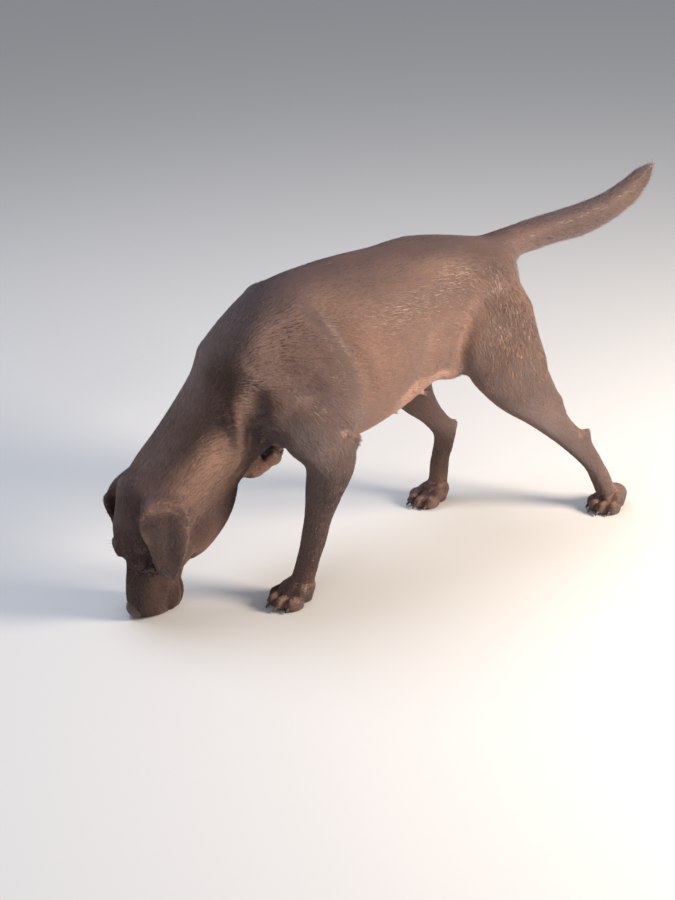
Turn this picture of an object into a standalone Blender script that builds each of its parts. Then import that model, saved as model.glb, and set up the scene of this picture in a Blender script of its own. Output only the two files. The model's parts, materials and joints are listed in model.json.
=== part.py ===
"""A sturdy chocolate Labrador bitch, life size: she walks with her nose on the ground.

The body is modelled whole, as lofted tubes and muscle blobs fused into one closed
surface.  Thin cuts then part it into the pieces a person would name.  Ears, eyes,
nose pad and claws are solids of their own, let into the body with a hair's gap.

Frame while building: head towards -X, her left side towards -Y, up +Z, floor at z = 0
and the withers above x = 0.  At the end all pieces move together, so that the
origin is at the middle of the bottom of the whole model's box.
"""
import math

import bmesh
import bpy
from mathutils import Matrix, Vector

# ---------------------------------------------------------------- driving sizes
GAP = 0.0004                # clearance between neighbouring pieces
VOXEL = 0.0045              # grain of the fused body
BODY_TRIANGLES = 3650       # target for the fused body before it is parted
SMOOTHING_ROUNDS = 14       # over the joins between the fused shapes
SHARPNESS_KEPT = 0.8        # how much of that smoothing head and paws are spared
DETAIL_PULL = 0.002         # how strongly facets gather on the head and paws
PRESS = 0.003               # how far each sole is pressed flat on the floor

HEAD_SEAT = Vector((-0.192, 0.055, 0.1000))   # the stop, between the eyes
HEAD_TILT = math.radians(12)                  # nose ahead of the plumb line
EYE_RADIUS = 0.0118
EYE_PLACE = Vector((0.000, 0.0310, 0.0155))
CLAW_LENGTH = 0.012

LEFT, RIGHT = -1, 1
SIDE_NAME = {LEFT: "left", RIGHT: "right"}
PAW_NAME = {"fore": "forepaw_", "hind": "hind_paw_"}
AS_BUILT = Matrix.Identity(4)

FUR = (0.098, 0.047, 0.024, 1.0)
LIVER = (0.115, 0.055, 0.042, 1.0)
AMBER = (0.160, 0.070, 0.018, 1.0)
HORN = (0.235, 0.160, 0.110, 1.0)


# ---------------------------------------------------------------- scene helpers
def clear_scene():
    for obj in list(bpy.data.objects):
        bpy.data.objects.remove(obj)


def collection(name):
    made = bpy.data.collections.new(name)
    bpy.context.scene.collection.children.link(made)
    return made


def material(name, colour, roughness):
    made = bpy.data.materials.new(name)
    made.use_nodes = True
    shader = made.node_tree.nodes["Principled BSDF"]
    shader.inputs["Base Color"].default_value = colour
    shader.inputs["Roughness"].default_value = roughness
    made.diffuse_color = colour
    return made


clear_scene()
DOG = collection("dog")
CUTTERS = collection("cutters")
MATERIALS = {
    "fur": material("fur", FUR, 0.6),
    "liver": material("liver", LIVER, 0.4),
    "amber": material("amber", AMBER, 0.1),
    "horn": material("horn", HORN, 0.45),
}


def new_object(name, bm, home=CUTTERS):
    """An object from a bmesh, with its faces pointing out."""
    bmesh.ops.recalc_face_normals(bm, faces=bm.faces)
    mesh = bpy.data.meshes.new(name)
    bm.to_mesh(mesh)
    bm.free()
    obj = bpy.data.objects.new(name, mesh)
    home.objects.link(obj)
    return obj


def bake(obj):
    """Turns an object's modifiers into its own mesh."""
    graph = bpy.context.evaluated_depsgraph_get()
    mesh = bpy.data.meshes.new_from_object(obj.evaluated_get(graph))
    worn = obj.data
    obj.modifiers.clear()
    obj.data = mesh
    bpy.data.meshes.remove(worn)


def boolean(obj, cutter, operation):
    cut = obj.modifiers.new(operation.lower(), "BOOLEAN")
    cut.operation = operation
    cut.object = cutter
    cut.solver = "EXACT"
    bake(obj)


def copy_of(obj, name):
    twin = obj.copy()
    twin.data = obj.data.copy()
    twin.name = name
    CUTTERS.objects.link(twin)
    return twin


def keep_largest_shell(obj):
    """Drops the crumbs that a cut can leave beside the piece itself."""
    bm = bmesh.new()
    bm.from_mesh(obj.data)
    unseen = set(bm.verts)
    shells = []
    while unseen:
        shell = []
        edge_of_shell = [unseen.pop()]
        while edge_of_shell:
            vert = edge_of_shell.pop()
            shell.append(vert)
            for edge in vert.link_edges:
                other = edge.other_vert(vert)
                if other in unseen:
                    unseen.remove(other)
                    edge_of_shell.append(other)
        shells.append(shell)
    shells.sort(key=len)
    for shell in shells[:-1]:
        bmesh.ops.delete(bm, geom=shell, context="VERTS")
    bm.to_mesh(obj.data)
    bm.free()


# ---------------------------------------------------------------- clay shapes
def catmull(a, b, c, d, t):
    """One value on the smooth curve from b to c."""
    return 0.5 * (2 * b + (c - a) * t + (2 * a - 5 * b + 4 * c - d) * t ** 2
                  + (3 * b - a - 3 * c + d) * t ** 3)


def smooth_stations(stations, steps):
    """Stations on a smooth curve through the given ones."""
    padded = [stations[0]] + list(stations) + [stations[-1]]
    out = []
    for i in range(len(stations) - 1):
        a, b, c, d = padded[i:i + 4]
        for k in range(steps):
            out.append([catmull(*four, k / steps) for four in zip(a, b, c, d)])
    out.append(list(stations[-1]))
    return out


def signed_power(value, power):
    return math.copysign(abs(value) ** power, value)


def loft(name, stations, across=Vector((0, 1, 0)), place=AS_BUILT,
         steps=4, sides=24, squareness=2.2, home=CUTTERS):
    """A closed tube through oval stations (x, y, z, half width, above, below).

    'across' is the direction of the width; 'above' lies along travel x across,
    which is up for a tube that runs back, and forward for one that runs up.
    """
    rows = smooth_stations(stations, steps)
    centres = [Vector(row[:3]) for row in rows]
    bm = bmesh.new()
    rings = []
    for i, row in enumerate(rows):
        travel = centres[min(i + 1, len(rows) - 1)] - centres[max(i - 1, 0)]
        travel.normalize()
        wide = (across - travel * across.dot(travel)).normalized()
        above = travel.cross(wide)
        half_width, rise, drop = (max(value, 0.0004) for value in row[3:6])
        ring = []
        for k in range(sides):
            turn = 2 * math.pi * k / sides
            u = half_width * signed_power(math.cos(turn), 2 / squareness)
            v = signed_power(math.sin(turn), 2 / squareness)
            v *= rise if v > 0 else drop
            ring.append(bm.verts.new(place @ (centres[i] + wide * u + above * v)))
        rings.append(ring)
    for low, high in zip(rings, rings[1:]):
        for k in range(sides):
            j = (k + 1) % sides
            bm.faces.new((low[k], low[j], high[j], high[k]))
    bm.faces.new(rings[0])
    bm.faces.new(rings[-1])
    return new_object(name, bm, home)


def seat_of(centre, size, turn):
    """Sizes a unit shape, turns it about X, Y and Z in degrees, and sets it down."""
    spin = (Matrix.Rotation(math.radians(turn[2]), 3, "Z")
            @ Matrix.Rotation(math.radians(turn[1]), 3, "Y")
            @ Matrix.Rotation(math.radians(turn[0]), 3, "X"))
    return Matrix.LocRotScale(Vector(centre), spin, Vector(size))


def blob(name, centre, radii, turn=(0, 0, 0), place=AS_BUILT, segments=20, home=CUTTERS):
    """An ellipsoid, for a muscle or a pad."""
    bm = bmesh.new()
    bmesh.ops.create_uvsphere(bm, u_segments=segments, v_segments=segments // 2 + 2, radius=1)
    bmesh.ops.transform(bm, matrix=place @ seat_of(centre, radii, turn), verts=bm.verts)
    return new_object(name, bm, home)


def box(name, centre, size, turn=(0, 0, 0), place=AS_BUILT):
    """A box to cut with."""
    bm = bmesh.new()
    bmesh.ops.create_cube(bm, size=1)
    bmesh.ops.transform(bm, matrix=place @ seat_of(centre, size, turn), verts=bm.verts)
    return new_object(name, bm)


# ---------------------------------------------------------------- head
# The head is shaped level, nose towards -x, then seated hanging straight down.
HEAD_SET = Matrix.Translation(HEAD_SEAT) @ Matrix.Rotation(HEAD_TILT - math.pi / 2, 4, "Y")


def head_clay():
    """Skull, muzzle with its flews, brows and cheeks."""
    skull = [
        # x, y, z, half width, above, below
        (-0.0985, 0, -0.009, 0.018, 0.022, 0.024),
        (-0.092, 0, -0.009, 0.027, 0.034, 0.034),
        (-0.074, 0, -0.011, 0.033, 0.040, 0.041),
        (-0.046, 0, -0.011, 0.036, 0.043, 0.047),
        (-0.020, 0, -0.011, 0.039, 0.044, 0.051),
        (-0.003, 0, -0.010, 0.043, 0.048, 0.054),
        (0.014, 0, -0.009, 0.051, 0.062, 0.058),
        (0.045, 0, -0.008, 0.062, 0.069, 0.062),
        (0.083, 0, -0.006, 0.063, 0.066, 0.066),
        (0.113, 0, -0.004, 0.057, 0.067, 0.066),
        (0.136, 0, -0.004, 0.045, 0.060, 0.055),
        (0.152, 0, -0.005, 0.024, 0.028, 0.030),
    ]
    pieces = [loft("skull", skull, place=HEAD_SET, squareness=2.35)]
    for side in (LEFT, RIGHT):
        pieces += [
            blob("cheek", (0.032, side * 0.046, -0.020), (0.042, 0.020, 0.032), place=HEAD_SET),
            blob("brow", (0.014, side * 0.030, 0.033), (0.024, 0.020, 0.0155), place=HEAD_SET),
            blob("flew", (-0.056, side * 0.022, -0.038), (0.034, 0.014, 0.023), (0, -6, 0),
                 HEAD_SET),
            blob("whisker_bed", (-0.075, side * 0.019, -0.010), (0.021, 0.014, 0.018),
                 place=HEAD_SET),
        ]
    return pieces


def ear(side):
    """A hanging flap, broad at its fold and round at its tip."""
    level = Vector((0.97, side * 0.25, 0.0))
    flap_y = HEAD_SEAT.y + side * 0.068
    flap = [
        (-0.1900, flap_y, 0.0855, 0.0045, 0.0022, 0.0022),
        (-0.1905, flap_y, 0.0916, 0.0120, 0.0032, 0.0032),
        (-0.1925, flap_y, 0.1100, 0.0215, 0.0040, 0.0040),
        (-0.1925, flap_y, 0.1325, 0.0300, 0.0044, 0.0044),
        (-0.1925, flap_y, 0.1550, 0.0365, 0.0047, 0.0047),
        (-0.1940, flap_y, 0.1755, 0.0425, 0.0052, 0.0052),
        (-0.1950, flap_y - side * 0.002, 0.1920, 0.0450, 0.0066, 0.0066),
        (-0.1905, flap_y - side * 0.007, 0.2085, 0.0400, 0.0085, 0.0085),
        (-0.1850, flap_y - side * 0.016, 0.2210, 0.0300, 0.0100, 0.0100),
        (-0.1820, flap_y - side * 0.028, 0.2300, 0.0180, 0.0080, 0.0080),
    ]
    return loft("ear_" + SIDE_NAME[side], flap, level, steps=1, sides=14, squareness=2.9,
                home=DOG)


# ---------------------------------------------------------------- trunk, neck, tail
def trunk_clay():
    barrel = [
        (-0.105, 0, 0.335, 0.040, 0.035, 0.040),
        (-0.075, 0, 0.345, 0.070, 0.052, 0.070),
        (-0.030, 0, 0.370, 0.098, 0.098, 0.118),
        (0.050, 0, 0.390, 0.111, 0.137, 0.148),
        (0.130, 0, 0.390, 0.118, 0.148, 0.150),
        (0.210, 0, 0.400, 0.117, 0.142, 0.138),
        (0.290, 0, 0.415, 0.104, 0.127, 0.120),
        (0.360, 0, 0.428, 0.094, 0.108, 0.106),
        (0.430, 0, 0.432, 0.092, 0.091, 0.095),
        (0.475, 0, 0.433, 0.072, 0.074, 0.080),
        (0.502, 0, 0.432, 0.038, 0.046, 0.050),
    ]
    pieces = [
        loft("barrel", barrel, squareness=2.3),
        blob("breastbone", (-0.055, 0, 0.300), (0.060, 0.045, 0.050), (0, 25, 0)),
        blob("rump", (0.455, 0, 0.465), (0.060, 0.060, 0.048), (0, 22, 0)),
    ]
    for side in (LEFT, RIGHT):
        pieces += [
            blob("shoulder_blade", (0.008, side * 0.068, 0.412), (0.055, 0.030, 0.090),
                 (side * 24, 22, 0)),
            blob("loin", (0.330, side * 0.040, 0.505), (0.110, 0.035, 0.030), (0, 4, 0)),
            blob("hip", (0.405, side * 0.064, 0.474), (0.060, 0.028, 0.040), (0, 20, 0)),
            blob("flank_fold", (0.322, side * 0.074, 0.352), (0.046, 0.016, 0.046),
                 (side * 10, -35, 0)),
        ]
    return pieces


def neck_clay():
    nape = [
        (-0.178, 0.055, 0.120, 0.050, 0.030, 0.078),
        (-0.174, 0.055, 0.165, 0.063, 0.046, 0.102),
        (-0.160, 0.052, 0.215, 0.071, 0.056, 0.114),
        (-0.125, 0.042, 0.268, 0.074, 0.046, 0.117),
        (-0.075, 0.024, 0.322, 0.082, 0.060, 0.103),
        (-0.020, 0.008, 0.370, 0.092, 0.084, 0.100),
        (0.045, 0, 0.402, 0.090, 0.102, 0.090),
    ]
    return [
        loft("nape", nape),
        blob("dewlap", (-0.100, 0.042, 0.165), (0.056, 0.052, 0.097), (0, 36, 0)),
    ]


def tail_clay():
    otter = [
        (0.440, 0, 0.480, 0.036, 0.032, 0.034),
        (0.490, 0, 0.490, 0.033, 0.030, 0.034),
        (0.540, 0, 0.495, 0.028, 0.028, 0.027),
        (0.600, 0, 0.500, 0.025, 0.026, 0.028),
        (0.670, 0, 0.505, 0.023, 0.025, 0.033),
        (0.730, 0, 0.515, 0.021, 0.022, 0.031),
        (0.780, 0, 0.532, 0.019, 0.020, 0.028),
        (0.816, 0, 0.553, 0.015, 0.016, 0.021),
        (0.836, 0, 0.570, 0.006, 0.006, 0.008),
    ]
    return [loft("otter_tail", otter)]


# ---------------------------------------------------------------- legs
FORELEG = {
    LEFT: [
        (0.022, -0.064, 0.030, 0.021, 0.022, 0.021),
        (0.034, -0.067, 0.070, 0.020, 0.021, 0.021),
        (0.043, -0.071, 0.105, 0.0225, 0.024, 0.025),
        (0.048, -0.080, 0.150, 0.023, 0.026, 0.028),
        (0.055, -0.091, 0.200, 0.029, 0.035, 0.037),
        (0.062, -0.100, 0.250, 0.035, 0.045, 0.047),
        (0.050, -0.098, 0.300, 0.038, 0.062, 0.056),
        (0.015, -0.088, 0.355, 0.036, 0.075, 0.066),
    ],
    RIGHT: [
        (0.012, 0.090, 0.184, 0.020, 0.018, 0.016),
        (-0.012, 0.089, 0.187, 0.020, 0.019, 0.017),
        (-0.034, 0.088, 0.198, 0.022, 0.023, 0.020),
        (-0.020, 0.089, 0.218, 0.023, 0.026, 0.027),
        (0.012, 0.092, 0.248, 0.029, 0.034, 0.036),
        (0.048, 0.097, 0.278, 0.035, 0.044, 0.046),
        (0.048, 0.097, 0.315, 0.038, 0.060, 0.056),
        (0.015, 0.088, 0.360, 0.036, 0.075, 0.066),
    ],
}
ELBOW = {LEFT: (0.090, -0.108, 0.284), RIGHT: (0.092, 0.106, 0.304)}

HINDLEG = {
    LEFT: [
        (0.636, -0.127, 0.035, 0.019, 0.020, 0.020),
        (0.614, -0.121, 0.085, 0.0175, 0.020, 0.021),
        (0.584, -0.110, 0.135, 0.020, 0.028, 0.026),
        (0.544, -0.106, 0.177, 0.022, 0.031, 0.026),
        (0.494, -0.105, 0.230, 0.030, 0.040, 0.046),
        (0.443, -0.102, 0.288, 0.038, 0.057, 0.070),
        (0.420, -0.092, 0.350, 0.044, 0.082, 0.074),
        (0.422, -0.078, 0.415, 0.042, 0.080, 0.066),
        (0.422, -0.060, 0.455, 0.030, 0.060, 0.050),
    ],
    RIGHT: [
        (0.424, 0.089, 0.035, 0.019, 0.019, 0.019),
        (0.428, 0.087, 0.085, 0.0175, 0.020, 0.022),
        (0.437, 0.085, 0.132, 0.020, 0.024, 0.027),
        (0.406, 0.085, 0.176, 0.021, 0.025, 0.026),
        (0.368, 0.087, 0.224, 0.029, 0.037, 0.046),
        (0.347, 0.090, 0.280, 0.037, 0.051, 0.078),
        (0.354, 0.088, 0.345, 0.044, 0.072, 0.090),
        (0.395, 0.076, 0.415, 0.042, 0.078, 0.080),
        (0.425, 0.060, 0.455, 0.030, 0.060, 0.050),
    ],
}
HEEL = {LEFT: (0.602, -0.108, 0.150), RIGHT: (0.457, 0.084, 0.142)}

# Where each paw stands: place, heading about Z and pitch about Y, in degrees.
PAW = {
    ("fore", LEFT): ((0.012, -0.062, -PRESS), 2, 0),
    ("fore", RIGHT): ((0.038, 0.090, 0.211), 0, 177),
    ("hind", LEFT): ((0.648, -0.129, -PRESS), 6, 0),
    ("hind", RIGHT): ((0.412, 0.089, -PRESS), -2, 0),
}
PAW_SCALE = {"fore": 0.91, "hind": 0.86}
TOES = (
    # along, across and half length of each toe of a right paw
    (-0.022, -0.0275, 0.0190),
    (-0.036, -0.0105, 0.0200),
    (-0.036, 0.0105, 0.0200),
    (-0.022, 0.0275, 0.0190),
)


def paw_set(end, side):
    """Seats a paw that was shaped level, toes towards -x and sole at z = 0."""
    spot, heading, pitch = PAW[end, side]
    turn = (Matrix.Rotation(math.radians(heading), 4, "Z")
            @ Matrix.Rotation(math.radians(pitch), 4, "Y"))
    return Matrix.Translation(spot) @ turn @ Matrix.Scale(PAW_SCALE[end], 4)


def paw_clay(end, side):
    seat = paw_set(end, side)
    pieces = [
        blob("paw_back", (0.006, 0, 0.027), (0.036, 0.029, 0.027), place=seat),
        blob("main_pad", (0.008, 0, 0.010), (0.026, 0.024, 0.013), place=seat),
    ]
    for along, across, half in TOES:
        pieces += [
            blob("toe", (along, across, 0.015), (half, 0.0118, 0.0165), (0, 14, 0), seat),
            blob("knuckle", (along + 0.018, across * 0.86, 0.026), (0.016, 0.0105, 0.0135),
                 place=seat),
        ]
    return pieces


def claws(end, side):
    """Four short hooks that leave the toes low in front."""
    seat = paw_set(end, side)
    made = []
    for number, (along, across, half) in enumerate(TOES, 1):
        root_x = along - half + 0.007
        hook = [
            (root_x - CLAW_LENGTH, across * 1.02, 0.0058, 0.0011, 0.0010, 0.0012),
            (root_x - CLAW_LENGTH * 0.6, across * 1.02, 0.0105, 0.0024, 0.0026, 0.0032),
            (root_x - CLAW_LENGTH * 0.2, across, 0.0135, 0.0030, 0.0034, 0.0040),
            (root_x + 0.004, across, 0.0145, 0.0031, 0.0035, 0.0040),
        ]
        name = f"claw_{end}_{SIDE_NAME[side]}_{number}"
        made.append(loft(name, hook, place=seat, steps=1, sides=6, squareness=2, home=DOG))
    return made


def leg_clay():
    pieces = []
    for side in (LEFT, RIGHT):
        pieces += [
            loft("foreleg", FORELEG[side], sides=20),
            blob("elbow", ELBOW[side], (0.022, 0.017, 0.026), (0, 15, 0)),
            blob("upper_arm", (0.020, side * 0.092, 0.332), (0.076, 0.028, 0.047), (0, 22, 0)),
            loft("hindleg", HINDLEG[side], sides=20),
            blob("heel", HEEL[side], (0.014, 0.013, 0.019), (0, 35, 0)),
        ]
        for end in ("fore", "hind"):
            pieces += paw_clay(end, side)
    return pieces


# ---------------------------------------------------------------- the whole body
def fuse(name, pieces):
    """Joins the clay into one smooth closed skin."""
    bm = bmesh.new()
    for piece in pieces:
        bm.from_mesh(piece.data)
        bpy.data.objects.remove(piece)
    body = new_object(name, bm)
    remesh = body.modifiers.new("fuse", "REMESH")
    remesh.mode = "VOXEL"
    remesh.voxel_size = VOXEL
    bake(body)
    fine = body.vertex_groups.new(name="fine")
    coarse = body.vertex_groups.new(name="coarse")
    for vert in body.data.vertices:
        detail = detail_at(vert.co)
        fine.add([vert.index], detail, "REPLACE")
        coarse.add([vert.index], 1 - SHARPNESS_KEPT * detail, "REPLACE")
    smooth = body.modifiers.new("smooth", "SMOOTH")
    smooth.factor = 0.5
    smooth.iterations = SMOOTHING_ROUNDS
    smooth.vertex_group = "coarse"
    thin = body.modifiers.new("thin", "DECIMATE")
    thin.ratio = BODY_TRIANGLES / (2 * len(body.data.polygons))
    thin.vertex_group = "fine"
    thin.invert_vertex_group = True
    thin.vertex_group_factor = DETAIL_PULL
    thin.use_collapse_triangulate = True
    bake(body)
    return body


def faded(distance, reach, fade):
    """1 within reach, falling to 0 over the fade."""
    return max(0.0, 1 - max(0.0, distance - reach) / fade)


def detail_at(place):
    """How finely the body is faceted there: most on the head and the paws."""
    nearest_paw = min((place - Vector(spot)).length for spot, _, _ in PAW.values())
    on_head = faded((place - HEAD_SEAT).length, 0.09, 0.05)
    on_paw = faded(nearest_paw, 0.065, 0.03)
    return 0.9 * max(on_head, on_paw)


# ---------------------------------------------------------------- thin cuts
# Each piece is what one box holds of its host; turns are about X, Y and Z, in degrees.
CUTS = (
    # piece, host, centre of the box, its size, its turn, frame
    ("shank_left", "trunk", (0.632, -0.120, 0.093), (0.500, 0.200, 0.400), (0, 45, 0), AS_BUILT),
    ("shank_right", "trunk", (0.447, 0.125, 0.115), (0.350, 0.200, 0.300), (0, 57, 0), AS_BUILT),
    ("forearm_left", "trunk", (0.050, -0.138, 0.130), (0.240, 0.200, 0.290), (10, 0, 0), AS_BUILT),
    ("forearm_right", "trunk", (0.040, 0.162, 0.184), (0.160, 0.200, 0.200), (0, 134, 0), AS_BUILT),
    ("thigh_left", "trunk", (0.460, -0.146, 0.335), (0.320, 0.300, 0.320), (26, -12, 0), AS_BUILT),
    ("thigh_right", "trunk", (0.460, 0.146, 0.335), (0.320, 0.300, 0.320), (-26, -12, 0), AS_BUILT),
    ("hind_paw_left", "shank_left", (0.648, -0.129, 0), (0.200, 0.150, 0.110), (0, 0, 0), AS_BUILT),
    ("hind_paw_right", "shank_right", (0.412, 0.089, 0), (0.200, 0.150, 0.110), (0, 0, 0), AS_BUILT),
    ("forepaw_left", "forearm_left", (0.012, -0.062, 0), (0.200, 0.150, 0.120), (0, 0, 0), AS_BUILT),
    ("forepaw_right", "forearm_right", (0.080, 0.090, 0.174), (0.200, 0.120, 0.090), (0, 0, 0),
     AS_BUILT),
    ("tail", "trunk", (0.712, 0, 0.500), (0.400, 0.140, 0.240), (0, 0, 0), AS_BUILT),
    ("head", "trunk", (-0.041, 0, 0.020), (0.320, 0.260, 0.190), (0, 0, 0), HEAD_SET),
    ("lower_jaw", "head", (-0.078, 0, -0.065), (0.100, 0.120, 0.070), (0, 14, 0), HEAD_SET),
    ("neck", "trunk", (-0.175, 0.020, 0.198), (0.300, 0.360, 0.400), (0, -50, 0), AS_BUILT),
)


def grown(obj, by=GAP):
    """A copy swollen along its normals, to leave room for the piece itself."""
    twin = copy_of(obj, obj.name + "_room")
    normals = [vert.normal.copy() for vert in twin.data.vertices]
    for vert, normal in zip(twin.data.vertices, normals):
        vert.co += normal * by
    return twin


def part_off(body, name, centre, size, turn=(0, 0, 0), place=AS_BUILT):
    """Cuts the piece inside a box off the body and leaves a thin gap behind it."""
    piece = copy_of(body, name)
    CUTTERS.objects.unlink(piece)
    DOG.objects.link(piece)
    boolean(piece, box(name + "_inside", centre, size, turn, place), "INTERSECT")
    keep_largest_shell(piece)
    room = [edge + 2 * GAP for edge in size]
    boolean(body, box(name + "_outside", centre, room, turn, place), "DIFFERENCE")
    return piece


def make_room(hosts, guests, by=GAP):
    """Hollows the hosts where the guests are let into them."""
    for guest in guests:
        cutter = grown(guest, by)
        for host in hosts:
            boolean(host, cutter, "DIFFERENCE")
            keep_largest_shell(host)


def part_body(trunk):
    """Takes each piece off in turn and leaves the trunk."""
    pieces = {"trunk": trunk}
    for name, host, centre, size, turn, place in CUTS:
        pieces[name] = part_off(pieces[host], name, centre, size, turn, place)
    keep_largest_shell(trunk)
    CUTTERS.objects.unlink(trunk)
    DOG.objects.link(trunk)
    return pieces


def finish(obj, colour):
    obj.data.materials.clear()
    obj.data.materials.append(MATERIALS[colour])
    obj.data.shade_smooth()
    obj.data.set_sharp_from_angle(angle=math.radians(50))


def centre_on_floor():
    """Moves the origin to the middle of the bottom of the whole model's box."""
    spots = [obj.matrix_world @ vert.co for obj in DOG.objects for vert in obj.data.vertices]
    low = Vector(min(spot[axis] for spot in spots) for axis in range(3))
    high = Vector(max(spot[axis] for spot in spots) for axis in range(3))
    shift = Vector((-(low.x + high.x) / 2, -(low.y + high.y) / 2, -low.z))
    for obj in DOG.objects:
        obj.data.transform(Matrix.Translation(shift))
    return shift


def let_in_face(head, jaw, neck):
    """Nose pad, eyes and ears, each in a pocket of its own."""
    nose = blob("nose", (-0.086, 0, 0.011), (0.0170, 0.0190, 0.0175), place=HEAD_SET,
                segments=14, home=DOG)
    make_room([head, jaw], [nose])
    eyes = []
    for side in (LEFT, RIGHT):
        place = (EYE_PLACE.x, side * EYE_PLACE.y, EYE_PLACE.z)
        eyes.append(blob("eye_" + SIDE_NAME[side], place, (EYE_RADIUS,) * 3, place=HEAD_SET,
                         segments=10, home=DOG))
    make_room([head], eyes)
    make_room([head, neck], [ear(side) for side in (LEFT, RIGHT)], 3 * GAP)
    return nose, eyes


def let_in_claws(pieces):
    horns = []
    for side in (LEFT, RIGHT):
        for end in ("fore", "hind"):
            hooks = claws(end, side)
            make_room([pieces[PAW_NAME[end] + SIDE_NAME[side]]], hooks)
            horns += hooks
    return horns


def main():
    body = fuse("trunk", head_clay() + trunk_clay() + neck_clay() + tail_clay() + leg_clay())
    boolean(body, box("floor", (0.3, 0, -0.1), (2.0, 1.0, 0.2)), "DIFFERENCE")
    pieces = part_body(body)
    nose, eyes = let_in_face(pieces["head"], pieces["lower_jaw"], pieces["neck"])
    horns = let_in_claws(pieces)

    for obj in list(DOG.objects):
        finish(obj, "fur")
    finish(nose, "liver")
    for eye in eyes:
        finish(eye, "amber")
    for horn in horns:
        finish(horn, "horn")
    for obj in CUTTERS.objects:
        obj.hide_render = True
        obj.display_type = "WIRE"
    return centre_on_floor()


SHIFT = main()
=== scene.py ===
# %% [markdown]
# # A chocolate gundog with her nose on the ground
# This lesson dresses a plain set of solids as a living dog.  The solids already have the
# true size and stance, so everything here starts from them: first the camera and the
# light, then one skin over all the flesh, then the face, eyes, nose and claws, and last
# the short coat, tuft by tuft.

# %% The solids
import json
import math

import bmesh
import bpy
import numpy as np
from mathutils import Matrix, Vector

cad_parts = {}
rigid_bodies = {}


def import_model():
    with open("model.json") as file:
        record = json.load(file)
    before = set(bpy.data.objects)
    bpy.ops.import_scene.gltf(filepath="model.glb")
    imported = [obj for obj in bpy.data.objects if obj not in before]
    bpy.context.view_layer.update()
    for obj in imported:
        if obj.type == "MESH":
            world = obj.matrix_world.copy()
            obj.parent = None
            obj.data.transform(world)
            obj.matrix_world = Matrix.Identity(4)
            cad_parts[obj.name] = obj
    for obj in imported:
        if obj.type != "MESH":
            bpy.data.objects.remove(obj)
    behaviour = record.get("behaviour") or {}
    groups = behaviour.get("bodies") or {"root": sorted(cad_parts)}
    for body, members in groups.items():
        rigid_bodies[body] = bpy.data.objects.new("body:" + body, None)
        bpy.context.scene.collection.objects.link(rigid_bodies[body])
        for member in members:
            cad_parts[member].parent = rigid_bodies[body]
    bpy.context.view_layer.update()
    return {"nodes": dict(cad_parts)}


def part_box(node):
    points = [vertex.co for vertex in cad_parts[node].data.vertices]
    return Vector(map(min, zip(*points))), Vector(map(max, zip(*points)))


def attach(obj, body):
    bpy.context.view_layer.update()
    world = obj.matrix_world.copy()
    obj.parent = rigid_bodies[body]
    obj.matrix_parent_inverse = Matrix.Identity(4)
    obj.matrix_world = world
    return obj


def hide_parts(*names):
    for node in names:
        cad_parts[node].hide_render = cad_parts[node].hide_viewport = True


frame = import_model()
NODES = frame["nodes"]

# %% [markdown]
# Left and right are the dog's own.  She looks towards -X and her left side faces -Y.
# Every place below could be told in the room's frame, but told from the withers the
# numbers compare with the measures of a dog.  One offset, found from the eyes of the
# solids, carries them to where the solids stand.

# %% Frames
LEFT, RIGHT = -1, 1
SIDE_NAME = {LEFT: "left", RIGHT: "right"}
HEAD_TILT = math.radians(12)
HEAD_SEAT = Vector((-0.192, 0.055, 0.1000))
EYE_PLACE = Vector((0, 0.0310, 0.0155))
LEVEL = Matrix.Identity(4)


def middle(node):
    """The middle of a solid's box."""
    low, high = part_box(node)
    return (low + high) / 2


head_turn = Matrix.Rotation(HEAD_TILT - math.pi / 2, 4, "Y")
between_eyes = (middle("eye_left") + middle("eye_right")) / 2
ORIGIN = between_eyes - HEAD_SEAT - head_turn @ Vector((0, 0, EYE_PLACE.z))
WORLD = Matrix.Translation(ORIGIN)
HEAD = WORLD @ Matrix.Translation(HEAD_SEAT) @ head_turn
EYE_SEAT = {side: Vector((EYE_PLACE.x, side * EYE_PLACE.y, EYE_PLACE.z)) for side in SIDE_NAME}


def from_withers(points):
    """Points told from the spot on the ground below the withers."""
    return points - np.array(ORIGIN)


print("withers stand above", [round(v, 4) for v in ORIGIN])

# %% [markdown]
# ## Camera
# The dog is seen from her left and well above, by someone who stands about three metres
# away.  From there the far legs look almost as large as the near ones.  A camera can be
# made to track a target, but then it can't hold the slight roll that a hand gives it, so
# its place and its turns are set one by one.

# %% Camera
CAMERA_PLACE = WORLD @ Vector((-1.29444, -2.11714, 1.38700))
CAMERA_TURN = -34.21
CAMERA_DOWN = 24.67
CAMERA_ROLL = -2.0
SENSOR_HEIGHT = 24.0
LENS_SHARE = 1.8889

lens = bpy.data.cameras.new("camera")
lens.sensor_fit = "VERTICAL"
lens.sensor_height = SENSOR_HEIGHT
lens.sensor_width = SENSOR_HEIGHT
lens.lens = SENSOR_HEIGHT * LENS_SHARE
camera = bpy.data.objects.new("camera", lens)
bpy.context.scene.collection.objects.link(camera)
camera.matrix_world = (Matrix.Translation(CAMERA_PLACE)
                       @ Matrix.Rotation(math.radians(CAMERA_TURN), 4, "Z")
                       @ Matrix.Rotation(math.radians(90 - CAMERA_DOWN), 4, "X")
                       @ Matrix.Rotation(math.radians(CAMERA_ROLL), 4, "Z"))
bpy.context.scene.camera = camera
print("camera", [round(v, 2) for v in camera.location], "lens", round(lens.lens, 2))

# %% [markdown]
# ## Light and floor
# A wide bluish lamp overhead and a little behind gives the back its broad sheen, as the
# open sky does.  A smaller warm one, low and behind her left hip, lights the flank and
# the thigh like an evening sun.  A weak one in front keeps the legs and the face from
# going black.  All are disks, because a point lamp puts a hard glint on every hair.  The
# floor is one wide pale sheet.

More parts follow.
